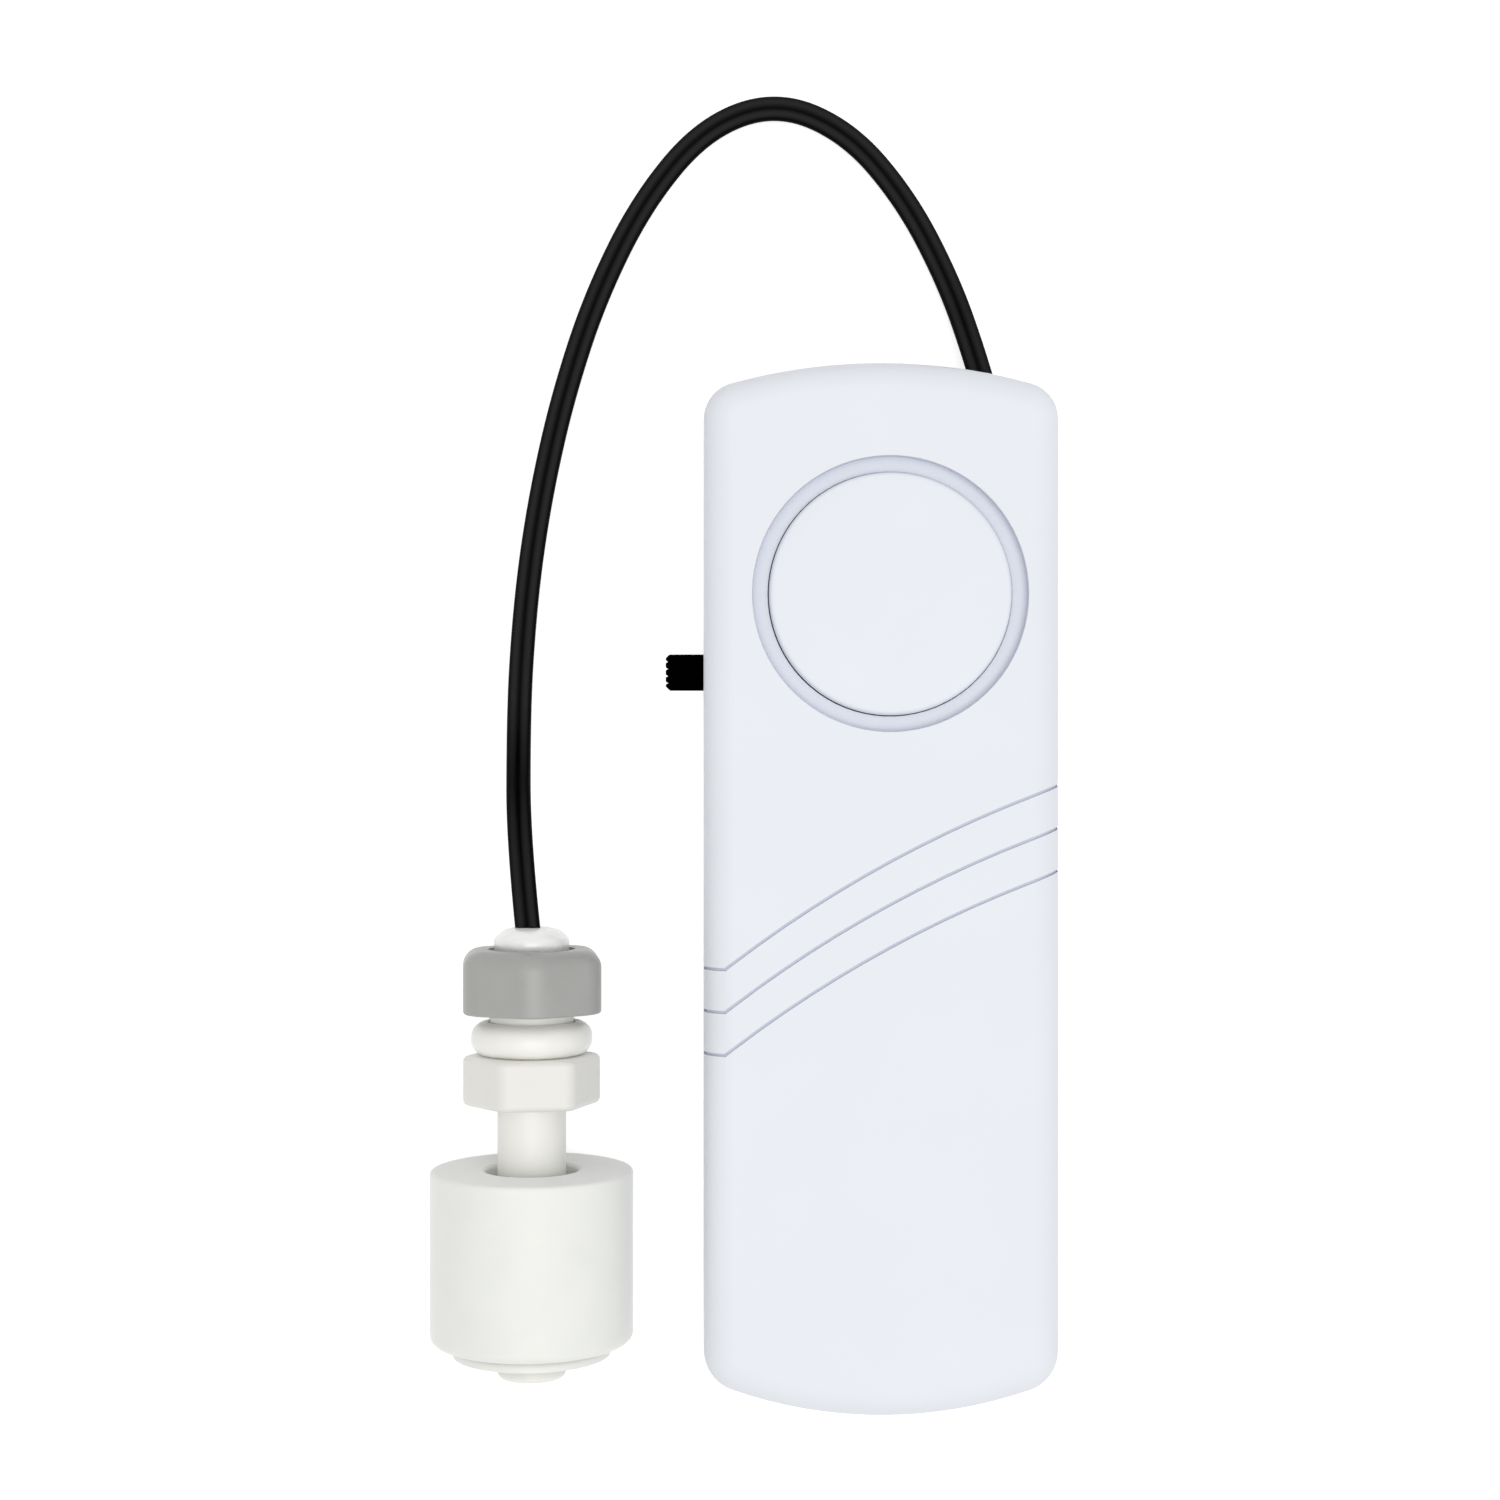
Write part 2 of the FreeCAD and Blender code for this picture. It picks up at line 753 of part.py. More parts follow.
def switch_base():
    low = board_top + switch_lift + switch_sheet
    half = switch_length / 2 - switch_sheet
    back_x = switch_front_x + switch_depth
    return block(back_x - switch_base_thickness, back_x, switch_centre_y - half, switch_centre_y + half,
                 low, low + switch_height - 2 * switch_sheet)


def switch_pins():
    low = board_underside - switch_pin_length
    high = knob_centre_z + switch_wiper_width / 2
    return Part.makeCompound(switch_pin_blocks(0, low, high))


def switch_knob():
    shoulder_front = switch_front_x + switch_sheet + part_gap
    shoulder_back = shoulder_front + switch_shoulder_thickness
    half = knob_length / 2
    half_height = knob_thickness / 2
    lever = block(knob_tip_x, shoulder_back, knob_centre_y - half, knob_centre_y + half,
                  knob_centre_z - half_height, knob_centre_z + half_height)
    tip_edges = []
    for edge in edges_at(lever, "x", knob_tip_x):
        if runs_along(edge, Z_AXIS):
            tip_edges.append(edge)
    lever = lever.makeChamfer(knob_end_chamfer, tip_edges)
    inside_half = switch_length / 2 - switch_sheet
    shoulder_half = inside_half - knob_travel / 2 - part_gap
    shoulder_half_height = switch_height / 2 - switch_sheet - part_gap
    shoulder = block(shoulder_front, shoulder_back, knob_centre_y - shoulder_half,
                     knob_centre_y + shoulder_half, knob_centre_z - shoulder_half_height,
                     knob_centre_z + shoulder_half_height)
    knob = joined([lever, shoulder])
    pitch = knob_length / knob_tooth_count
    notches = []
    for number in range(knob_tooth_count - 1):
        notch_y = knob_centre_y - half + (number + 1) * pitch
        quarter = pitch / 4
        corners = [
            Vector(knob_tip_x - part_gap, notch_y - quarter, knob_centre_z - knob_thickness),
            Vector(knob_tip_x - part_gap, notch_y + quarter, knob_centre_z - knob_thickness),
            Vector(knob_tip_x + knob_tooth_depth, notch_y, knob_centre_z - knob_thickness),
        ]
        outline = Part.makePolygon(corners + [corners[0]])
        notches.append(Part.Face(outline).extrude(Vector(0, 0, 2 * knob_thickness)))
    return drilled(knob, notches)


def switch_wiper():
    back = switch_front_x + switch_sheet + part_gap + switch_shoulder_thickness
    half = (switch_pin_pitch + switch_finger_width) / 2
    low_z = knob_centre_z - switch_wiper_width / 2
    high_z = knob_centre_z + switch_wiper_width / 2
    pieces = [block(back, back + switch_sheet, knob_centre_y - half, knob_centre_y + half, low_z, high_z)]
    tip_x = switch_pad_x - switch_pin_thickness - part_gap
    for side in (-1, 1):
        place = knob_centre_y + side * switch_pin_pitch / 2
        reach = switch_finger_width / 2
        pieces.append(block(back, tip_x, place - reach, place + reach, low_z + reach, high_z - reach))
    return joined(pieces)


def cell(number):
    axis = Vector(0, 0, cell_axis_z)
    high = cell_stack_top_y - number * cell_height
    low = high - cell_height
    can = barrel(cell_radius, low + cell_cap_height, high, axis)
    cap = barrel(cell_cap_radius, low, low + cell_cap_height, axis)
    return joined([can.makeFillet(cell_rim_round, edges_at(can, "y", high)), cap])


def contact(wall_y, facing, bulge, ear_side):
    front = wall_y + facing * contact_thickness
    low, high = sorted((wall_y, front))
    plate = block(-contact_half_width, contact_half_width, low, high, contact_bottom, contact_top)
    ear_ends = sorted((0, ear_side * (contact_half_width + contact_ear_reach)))
    ear = block(ear_ends[0], ear_ends[1], low, high, contact_top - contact_ear_height, contact_top)
    ball_y = front + facing * (bulge - contact_bump_radius)
    ball = Part.makeSphere(contact_bump_radius, Vector(0, ball_y, cell_axis_z))
    near, far = sorted((wall_y, front + facing * contact_bump_radius))
    reach = contact_bump_radius
    window = block(-reach, reach, near, far, cell_axis_z - reach, cell_axis_z + reach)
    return joined([plate, ear, ball.common(window)])


# A cord or wire along its route: straight runs and tangent arcs, each arc as large as its runs allow
def corner_arc(before, corner, after):
    way_in = (corner - before).normalize()
    way_out = (after - corner).normalize()
    turn = way_in.getAngle(way_out)
    shorter = min((corner - before).Length, (after - corner).Length)
    setback = cord_arc_share * shorter
    radius = setback / math.tan(turn / 2)
    start = corner - way_in * setback
    end = corner + way_out * setback
    axle = way_in.cross(way_out).normalize()
    centre = start + axle.cross(way_in).normalize() * radius
    return {"start": start, "end": end, "centre": centre, "axle": axle, "turn": turn, "radius": radius}


def swept(route, section, level_run):
    corners = []
    for number in range(1, len(route) - 1):
        corners.append(corner_arc(route[number - 1], route[number], route[number + 1]))
    way = (route[level_run + 1] - route[level_run]).normalize()
    level = X_AXIS if abs(way.z) > 0.9 else Z_AXIS
    up = (level - way * level.dot(way)).normalize()
    for corner in reversed(corners[:level_run]):
        back_turn = FreeCAD.Rotation(corner["axle"], -math.degrees(corner["turn"]))
        up = back_turn.multVec(up)
    pieces = []
    length = 0.0
    here = route[0]
    for number in range(len(route) - 1):
        way = (route[number + 1] - route[number]).normalize()
        run_end = corners[number]["start"] if number < len(corners) else route[-1]
        face = section(here, way, up)
        run = run_end - here
        pieces.append(face.extrude(run))
        length += run.Length
        if number < len(corners):
            corner = corners[number]
            face = section(run_end, way, up)
            pieces.append(face.revolve(corner["centre"], corner["axle"], math.degrees(corner["turn"])))
            length += corner["radius"] * corner["turn"]
            up = FreeCAD.Rotation(corner["axle"], math.degrees(corner["turn"])).multVec(up)
            here = corner["end"]
    radii = [round(corner["radius"], 2) for corner in corners]
    return joined(pieces), length, radii


def oval_section(place, way, up):
    side = way.cross(up).normalize()
    half = (cord_width - cord_thickness) / 2
    round_radius = cord_thickness / 2
    left = place - side * half
    right = place + side * half
    lift = up * round_radius
    outer = side * round_radius
    edges = [
        Part.LineSegment(left + lift, right + lift).toShape(),
        Part.Arc(right + lift, right + outer, right - lift).toShape(),
        Part.LineSegment(right - lift, left - lift).toShape(),
        Part.Arc(left - lift, left - outer, left + lift).toShape(),
    ]
    return Part.Face(Part.Wire(edges))


def round_section(radius):
    def section(place, way, up):
        return Part.Face(Part.Wire([Part.makeCircle(radius, place, way)]))
    return section


def wire(points, radius=wire_radius):
    shape, length, radii = swept(points, round_section(radius), 0)
    return shape


def cord():
    first_on_surface = [place.z == cord_lie_z for place in cord_route].index(True)
    shape, length, radii = swept(cord_route, oval_section, first_on_surface)
    flat_area = (cord_width - cord_thickness) * cord_thickness
    area = flat_area + math.pi * cord_thickness * cord_thickness / 4
    print("cord length", round(length, 1), "radii", radii)
    print("cord volume", round(shape.Volume, 2), "section times length", round(area * length, 2))
    return shape


def cord_tail():
    start = cord_route[0]
    way = (start - cord_route[1]).normalize()
    flat_end = start + way * cord_tail_flat
    face = oval_section(start, way, Z_AXIS)
    pieces = [face.extrude(way * cord_tail_flat)]
    side = way.cross(Z_AXIS)
    half = (cord_width - cord_thickness) / 2
    pad_y = board_high_end_y - cord_pad_inset
    high_z = board_top + cord_core_height
    for hand in (-1, 1):
        first = flat_end + side * (hand * half) - way * cord_core_overlap
        pad_x = flat_end.x + side.x * hand * core_spread
        points = [
            first,
            first + way * cord_core_run,
            Vector(pad_x, board_high_end_y + cord_core_edge_gap, high_z),
            Vector(pad_x, pad_y, high_z),
            Vector(pad_x, pad_y, board_top),
        ]
        pieces.append(wire(points, core_radius))
    return joined(pieces)


def piezo_wires():
    plate_z = sounder_seat_height
    ceramic_z = sounder_seat_height - piezo_ceramic_thickness
    middle_z = (board_top + ceramic_z) / 2
    wires = []
    plate_joint_y = piezo_plate_joint_from_rim - sounder_radius
    ceramic_joint = Vector(piezo_ceramic_joint_x, piezo_ceramic_joint_y, ceramic_z)
    ceramic_pad = Vector(piezo_ceramic_pad_x, piezo_ceramic_pad_y, board_top)
    plate_joint = Vector(piezo_plate_joint_x, plate_joint_y, plate_z)
    plate_pad = Vector(piezo_plate_pad_x, piezo_plate_pad_y, board_top)
    for joint, pad in ((ceramic_joint, ceramic_pad), (plate_joint, plate_pad)):
        start = sounder_centre + joint
        end = sounder_centre + pad
        wires.append(wire([
            start,
            Vector(start.x, start.y, middle_z + piezo_wire_rise),
            Vector(end.x, end.y, middle_z - piezo_wire_rise),
            end,
        ]))
    return Part.makeCompound(wires)


def battery_wires():
    ear_x = contact_half_width + contact_ear_reach - 2 * wire_radius
    pad_x = board_half_width - 2 * wire_radius
    pad_y = board_low_end_y + 3 * wire_radius
    negative_pad = Vector(-pad_x, pad_y, board_top)
    positive_pad = Vector(pad_x, pad_y, board_top)
    wires = []
    for start, pad in (
        (Vector(-ear_x, bay_low_y + contact_thickness, ear_z), negative_pad),
        (Vector(ear_x, bay_top_y, ear_z), positive_pad),
    ):
        wires.append(wire([
            start,
            Vector(start.x, wire_bend_y, ear_z),
            Vector(pad.x, pad.y - wire_pad_run, wire_drop_height),
            Vector(pad.x, pad.y, wire_drop_height),
            pad,
        ]))
    return Part.makeCompound(wires)


def hexagon(across_flats, turn, low_y, high_y):
    radius = across_flats / math.sqrt(3)
    corners = []
    for number in range(7):
        angle = math.radians(turn + 60 * number)
        corners.append(Vector(probe_x + radius * math.sin(angle), low_y, probe_z + radius * math.cos(angle)))
    return Part.Face(Part.makePolygon(corners)).extrude(Vector(0, high_y - low_y, 0))


def thread_cutter():
    root = thread_radius - thread_depth
    start = thread_run_in
    spine = Part.makeHelix(thread_pitch, thread_length + thread_pitch - start, thread_radius)
    spine.translate(Vector(0, 0, start))
    flat = thread_pitch * thread_root_share
    mouth = thread_pitch * thread_mouth_share
    outside = thread_radius + thread_cutter_reach
    corners = [
        Vector(root, 0, start - flat),
        Vector(root, 0, start + flat),
        Vector(outside, 0, start + mouth),
        Vector(outside, 0, start - mouth),
    ]
    pipe = Part.BRepOffsetAPI.MakePipeShell(Part.Wire(spine.Edges))
    pipe.setFrenetMode(True)
    pipe.add(Part.makePolygon(corners + [corners[0]]))
    pipe.build()
    pipe.makeSolid()
    return pipe.shape()


def threaded_stub():
    stub = Part.makeCylinder(thread_radius, thread_length + overshoot, Vector(0, 0, -overshoot), Z_AXIS)
    stub = stub.makeChamfer(thread_end_chamfer, edges_at(stub, "z", thread_length))
    stub = stub.cut(thread_cutter())
    stub.rotate(Vector(0, 0, 0), X_AXIS, -90)
    stub.translate(Vector(probe_x, flange_top_y, probe_z))
    return stub


def probe_stem():
    flange = hexagon(flange_across_flats, flange_turn, stem_start_y, flange_top_y)
    long_edges = [edge for edge in flange.Edges if runs_along(edge, Y_AXIS)]
    flange = flange.makeFillet(flange_corner_round, long_edges)
    rims = edges_at(flange, "y", stem_start_y) + edges_at(flange, "y", flange_top_y)
    flange = flange.makeFillet(flange_rim_round, rims)
    tube = barrel(stem_radius, stem_tip_y, stem_start_y + overshoot)
    tube = tube.makeFillet(stem_tip_round, edges_at(tube, "y", stem_tip_y))
    whole = flange.fuse(tube).removeSplitter().fuse(threaded_stub())
    bore = barrel(stem_bore_radius, stem_tip_y + stem_bore_floor, thread_end_y + overshoot)
    groove_radius = stem_radius - clip_groove_depth
    groove = sleeve(stem_radius + overshoot, groove_radius, clip_low_y - clip_gap, clip_top_y + clip_gap)
    return drilled(whole, [bore, groove])


def probe_gasket():
    gasket = sleeve(gasket_radius, thread_radius + gasket_gap, flange_top_y, gasket_top_y)
    return gasket.makeFillet(gasket_round, round_edges(gasket, gasket_radius))


def probe_nut():
    nut = hexagon(nut_across_flats, nut_turn_angle, nut_low_y, nut_top_y)
    long_edges = [edge for edge in nut.Edges if runs_along(edge, Y_AXIS)]
    nut = nut.makeFillet(nut_corner_round, long_edges)
    nut = nut.makeFillet(nut_low_round, edges_at(nut, "y", nut_low_y))
    nut = nut.makeFillet(nut_top_round, edges_at(nut, "y", nut_top_y))
    return nut.cut(barrel(thread_radius + nut_gap, nut_low_y - overshoot, nut_top_y + overshoot))


def potting_plug():
    rim_y = thread_end_y + plug_rim_height
    bulge_x = (plug_radius + plug_flat_radius) / 2 + plug_bulge_out
    bulge_y = (rim_y + plug_top_y) / 2 + plug_bulge_up
    outline = [
        Part.LineSegment(Vector(0, thread_end_y, 0), Vector(plug_radius, thread_end_y, 0)).toShape(),
        Part.LineSegment(Vector(plug_radius, thread_end_y, 0), Vector(plug_radius, rim_y, 0)).toShape(),
        Part.Arc(
            Vector(plug_radius, rim_y, 0),
            Vector(bulge_x, bulge_y, 0),
            Vector(plug_flat_radius, plug_top_y, 0),
        ).toShape(),
        Part.LineSegment(Vector(plug_flat_radius, plug_top_y, 0), Vector(0, plug_top_y, 0)).toShape(),
        Part.LineSegment(Vector(0, plug_top_y, 0), Vector(0, thread_end_y, 0)).toShape(),
    ]
    dome = Part.Face(Part.Wire(outline)).revolve(Vector(0, 0, 0), Y_AXIS, 360)
    dome.translate(probe_axis)
    root = barrel(stem_bore_radius - plug_gap, thread_end_y - plug_depth, thread_end_y)
    return joined([dome, root])


def float_shell():
    body = barrel(float_radius, float_low_y, float_top_y)
    body = body.makeFillet(float_top_round, edges_at(body, "y", float_top_y))
    body = body.makeFillet(float_low_round, edges_at(body, "y", float_low_y))
    body = body.cut(barrel(float_bore_radius, float_low_y - overshoot, float_top_y + overshoot))
    body = body.makeFillet(float_bore_round, round_edges(body, float_bore_radius))
    inner = float_bore_radius + float_wall
    hollow = sleeve(float_radius - float_wall, inner, float_low_y - overshoot, float_top_y - float_wall)
    return body.cut(hollow)


def float_cap():
    outer = float_radius - float_wall - part_gap / 2
    inner = float_bore_radius + float_wall + part_gap / 2
    low = float_low_y + float_cap_inset
    return sleeve(outer, inner, low, low + float_cap_thickness)


def float_magnet():
    inner = float_bore_radius + float_wall + magnet_gap
    high = float_top_y - float_wall - magnet_gap
    return sleeve(magnet_radius, inner, high - magnet_thickness, high)


def retaining_clip():
    groove_radius = stem_radius - clip_groove_depth + clip_gap
    disc = sleeve(clip_radius, groove_radius, clip_low_y, clip_top_y)
    mouth = groove_radius * clip_mouth_share
    slot = block(probe_x - mouth, probe_x + mouth, clip_low_y - overshoot, clip_top_y + overshoot,
                 probe_z - clip_radius - overshoot, probe_z)
    return disc.cut(slot)


def reed_centre_y():
    return stem_start_y - reed_centre_from_flange


def reed_glass():
    half = reed_glass_length / 2
    low = reed_centre_y() - half
    high = reed_centre_y() + half
    glass = barrel(reed_glass_radius, low, high)
    glass = glass.makeFillet(reed_glass_round, edges_at(glass, "y", low) + edges_at(glass, "y", high))
    hollow = barrel(reed_glass_radius - reed_glass_wall, low + reed_glass_end, high - reed_glass_end)
    lead_hole = barrel(reed_lead_radius + reed_lead_gap, low - overshoot, high + overshoot)
    return drilled(glass, [hollow, lead_hole])


def reed_blades():
    middle = reed_centre_y()
    half = reed_glass_length / 2
    blades = []
    for side in (-1, 1):
        near = middle - side * reed_blade_overlap / 2
        far = middle + side * (half - reed_blade_end_gap)
        end = middle + side * (half + reed_lead_length)
        low, high = sorted((near, far))
        lead_low, lead_high = sorted((far - side * reed_lead_lap, end))
        face_z = probe_z + side * (reed_blade_gap / 2 + reed_blade_thickness / 2)
        blade = block(probe_x - reed_blade_width / 2, probe_x + reed_blade_width / 2, low, high,
                      face_z - reed_blade_thickness / 2, face_z + reed_blade_thickness / 2)
        blades.append(joined([blade, barrel(reed_lead_radius, lead_low, lead_high)]))
    return Part.makeCompound(blades)


def reed_wires():
    lead_top = reed_centre_y() + reed_glass_length / 2 + reed_lead_length
    lead_low = reed_centre_y() - reed_glass_length / 2 - reed_lead_length
    plug_low = thread_end_y - plug_depth
    near = barrel(reed_wire_radius, lead_top, plug_low)
    side_z = probe_z - reed_glass_radius - reed_wire_radius - part_gap / 2
    back = wire([
        Vector(probe_x, lead_low, probe_z),
        Vector(probe_x, lead_low - reed_turn_length, probe_z),
        Vector(probe_x, lead_low - reed_turn_length, side_z),
        Vector(probe_x, plug_low, side_z),
    ], reed_wire_radius)
    return Part.makeCompound([near, back])


def save(name, shape):
    solids = len(shape.Solids)
    print(name, "solids", solids, "valid", shape.isValid(), "volume", round(shape.Volume, 2))
    shape.exportStep(os.path.join("parts", name + ".step"))


def main():
    os.makedirs("parts", exist_ok=True)
    save("front_shell", front_shell())
    save("rear_shell", rear_shell())
    save("battery_door", battery_door())
    save("case_screws", case_screws())
    save("sounder_disc", sounder_disc())
    save("piezo_plate", piezo_plate())
    save("piezo_ceramic", piezo_ceramic())
    save("piezo_wires", piezo_wires())
    save("circuit_board", circuit_board())
    save("control_chip", control_chip())
    save("boost_coil_core", boost_coil_core())
    save("boost_coil_winding", boost_coil_winding())
    save("capacitor", capacitor())
    save("driver_transistor", driver_transistor())
    save("resistors", resistors())
    save("switch_case", switch_case())
    save("switch_base", switch_base())
    save("switch_pins", switch_pins())
    save("switch_knob", switch_knob())
    save("switch_wiper", switch_wiper())
    for number in range(cell_count):
        save("cell_" + str(number + 1), cell(number))
    save("contact_positive", contact(bay_top_y, -1, positive_contact_bulge, 1))
    save("contact_negative", contact(bay_low_y, 1, negative_contact_bulge, -1))
    save("battery_wires", battery_wires())
    save("cord_tail", cord_tail())
    save("cord", cord())
    save("probe_stem", probe_stem())
    save("probe_nut", probe_nut())
    save("probe_gasket", probe_gasket())
    save("potting_plug", potting_plug())
    save("float_shell", float_shell())
    save("float_cap", float_cap())
    save("float_magnet", float_magnet())
    save("retaining_clip", retaining_clip())
    save("reed_glass", reed_glass())
    save("reed_blades", reed_blades())
    save("reed_wires", reed_wires())
    print("float travel", round(float_travel, 3))


main()
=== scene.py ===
"""Looks of the float switch water alarm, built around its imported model."""

import json
import math

import bmesh
import bpy
from bpy.props import FloatProperty, FloatVectorProperty, IntProperty, PointerProperty
from bpy.types import NodeSocket, Operator, Panel, PropertyGroup
from mathutils import Matrix, Vector

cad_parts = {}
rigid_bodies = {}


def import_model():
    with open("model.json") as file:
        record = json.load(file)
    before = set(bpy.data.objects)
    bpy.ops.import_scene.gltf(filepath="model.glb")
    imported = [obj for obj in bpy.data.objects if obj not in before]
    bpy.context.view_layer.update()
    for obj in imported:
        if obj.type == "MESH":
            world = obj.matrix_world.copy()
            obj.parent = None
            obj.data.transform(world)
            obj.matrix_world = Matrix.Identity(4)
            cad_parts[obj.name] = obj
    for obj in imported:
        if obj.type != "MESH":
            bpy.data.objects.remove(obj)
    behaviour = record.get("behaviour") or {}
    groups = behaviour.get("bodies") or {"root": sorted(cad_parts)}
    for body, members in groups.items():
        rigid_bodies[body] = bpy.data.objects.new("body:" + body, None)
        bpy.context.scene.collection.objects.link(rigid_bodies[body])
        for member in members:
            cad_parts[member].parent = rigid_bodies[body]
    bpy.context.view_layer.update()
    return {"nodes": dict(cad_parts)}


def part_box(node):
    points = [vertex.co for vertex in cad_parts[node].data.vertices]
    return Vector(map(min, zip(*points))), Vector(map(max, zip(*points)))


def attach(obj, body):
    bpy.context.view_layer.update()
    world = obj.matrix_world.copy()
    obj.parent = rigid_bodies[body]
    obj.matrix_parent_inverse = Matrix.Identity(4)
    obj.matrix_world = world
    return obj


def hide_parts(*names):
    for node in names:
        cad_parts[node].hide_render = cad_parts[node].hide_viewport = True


bl_info = {
    "name": "Float switch water alarm",
    "version": (1, 0, 0),
    "blender": (4, 5, 0),
    "location": "3D View > Sidebar > Water alarm",
    "description": "Builds the looks of a float switch water alarm around its packed model",
    "category": "Object",
}

for leftover in list(bpy.data.objects):
    bpy.data.objects.remove(leftover)
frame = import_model()

MM = 0.001
NODES = frame["nodes"]

# Points nearer than this are one, and faces whose angle is under this many degrees are one
SAME_PLACE = 1e-6
SAME_PLANE = 0.4
# Corners sharper than this many degrees are rounded
CORNER = 30.0
# Corners blunter than this many degrees are shaded smooth
SMOOTH = 32.0
# Faces wider than this, and larger than their piece's limit, are shaded level up to their border
FLAT_WIDTH = 1.2 * MM
HOUSING_FLAT = 40 * MM * MM
SMALL_FLAT = 3 * MM * MM
# Digits in which the faces of one plane agree
PLANE_DIGITS = 4

# The three lines in the front lie above this height, and this far below the sounder
GROOVE_HEIGHT = 10.1 * MM
GROOVE_DISTANCE = 2 * MM
# The mouth of the sounder's well, measured from the cap's rim: outwards, downwards and upwards
WELL_OUT = 0.3 * MM
WELL_DOWN = 2 * MM
WELL_UP = 1 * MM
# How far the sounder's collar stays under the front
COLLAR_DEPTH = 1.2 * MM
# What lies further than this from the float switch's axis belongs to the flange
FLANGE_REACH = 4.5 * MM

# Most of a noise's values lie between these two
NOISE_LOW = 0.3
NOISE_HIGH = 0.7
# Wear begins and is complete where the rounded normal agrees with the surface's own by this much
WEAR_START = 0.999
WEAR_FULL = 0.9
# Worn patches along a metre
WEAR_PATCHES = 900.0
# Painted shade begins and is complete where this share of the surroundings is open
SHADE_START = 0.85
SHADE_FULL = 0.35
# The roughness of moulded pieces varies by this share of itself
ROUGHNESS_SHARE = 0.12

# The cord's route, from inside the alarm's end wall to the float switch, in metres
CORD_ROUTE = [
    (0.01086, 0.0473, 0.003225),
    (0.00956, 0.0519, 0.003225),
    (0.0072, 0.0596, 0.000645),
    (0.0031, 0.0675, 0.000645),
    (-0.0026, 0.0742, 0.000645),
    (-0.0097, 0.0772, 0.000645),
    (-0.0169, 0.0746, 0.000645),
    (-0.0230, 0.0673, 0.000645),
    (-0.0276, 0.0580, 0.000645),
    (-0.0307, 0.0486, 0.000645),
    (-0.0328, 0.0396, 0.000645),
    (-0.0342, 0.0309, 0.000645),
    (-0.0350, 0.0220, 0.000645),
    (-0.03525, 0.0145, 0.000645),
    (-0.0345, 0.0046, 0.0084),
    (-0.03345, -0.0042, 0.0097),
]

# The white shells and the sounder's cap hardly shine
MATT = {"Specular IOR Level": 0.12}


def middle_of(node):
    low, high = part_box(node)
    return (low + high) / 2


probe_axis = middle_of("float_shell")
sounder_middle = middle_of("sounder_disc")
sounder_low, sounder_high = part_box("sounder_disc")
sounder_radius = (sounder_high.x - sounder_low.x) / 2
clip_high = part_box("retaining_clip")[1]


def length(name, description, default):
    return FloatProperty(name=name, description=description, default=default, unit="LENGTH")


def share(name, description, default):
    return FloatProperty(
        name=name, description=description, default=default, min=0, max=1, subtype="FACTOR"
    )


def colour(name, description, default):
    return FloatVectorProperty(
        name=name, description=description, default=default, size=3, min=0, max=1, subtype="COLOR"
    )


class WaterAlarmStage(PropertyGroup):
    """Floor, light and camera"""

    camera_x: length("Camera across", "Where the camera hangs, across the alarm", -0.01236)
    camera_y: length("Camera along", "Where the camera hangs, along the alarm", 0.0131)
    camera_height: length("Camera height", "How high the camera hangs over the floor", 0.235)
    lens: FloatProperty(
        name="Lens", description="Focal length in millimetres", default=56.88, min=1, unit="CAMERA"
    )
    floor_radius: length("Floor radius", "Reach of the floor around the alarm", 3.0)
    floor_drop: length("Floor drop", "How far the floor lies under the alarm's back", 0.00003)
    floor_colour: colour("Floor colour", "Colour of the floor", (0.80, 0.80, 0.80))
    floor_lift: share("Floor lift", "Brightness that only the camera sees on the floor", 0.58)
    sky: share("Sky", "Brightness of the even light all round", 0.60)
    key_power: FloatProperty(
        name="Key power", description="Power of the large lamp", default=14.0, min=0, unit="POWER"
    )
    key_size: length("Key size", "Side of the large lamp", 1.4)
    key_x: length("Key across", "Where the large lamp hangs, across the alarm", 0.2)
    key_y: length("Key along", "Where the large lamp hangs, along the alarm", -0.15)
    key_height: length("Key height", "How high the large lamp hangs", 1.78)


class WaterAlarmHousing(PropertyGroup):
    """Shells, battery door, sounder and switch knob"""

    shell_colour: colour("Shell colour", "Moulded white of the shells", (0.849, 0.873, 0.922))
    door_colour: colour("Door colour", "Moulded white of the battery door", (0.839, 0.863, 0.912))
    sounder_colour: colour("Sounder colour", "Moulded white of the sounder", (0.849, 0.876, 0.927))
    knob_colour: colour("Knob colour", "Moulded black of the switch knob", (0.0004, 0.0003, 0.0003))
    edge_width: length("Edge width", "How far the shells' corners are rounded", 0.00009)
    edge_steps: IntProperty(
        name="Edge steps", description="Faces across a rounded corner", default=2, min=1
    )
    well_edge: length("Well edge", "Rounding of the sounder's well at its mouth", 0.00008)
    sounder_crown: length("Sounder crown", "How much higher the sounder is in its middle", 0.00024)
    sounder_rim: length("Sounder rim", "Rounding of the sounder's rim", 0.0004)
    sounder_plate: length("Sounder plate", "Thickness of the cap at its rim", 0.0012)
    sounder_skirt: length("Sounder skirt", "Thickness of the sounder's side wall", 0.0008)
    sounder_collar: length("Sounder collar", "How far the collar stands out of the side", 0.00006)
    sounder_play: length("Sounder play", "How far the cap sits off the well's middle", 0.00004)
    knob_edge: length("Knob edge", "How far the knob's corners are rounded", 0.00006)


class WaterAlarmCord(PropertyGroup):
    """Two-core cord"""

    core_radius: length("Core radius", "Radius of each insulated core", 0.000625)
    core_offset: length("Core offset", "Distance from the cord's middle to each core", 0.000575)
    web_height: length("Web height", "Half the thickness of the web between the cores", 0.00033)
    sleeve_colour: colour("Sleeve colour", "Black of the insulation", (0.0008, 0.0008, 0.0008))
    # The crest colour is a painted highlight along the tops of the cores
    crest_highlight_colour: colour("Crest highlight colour", "Painted highlight on top of the cord", (0.020, 0.020, 0.020))


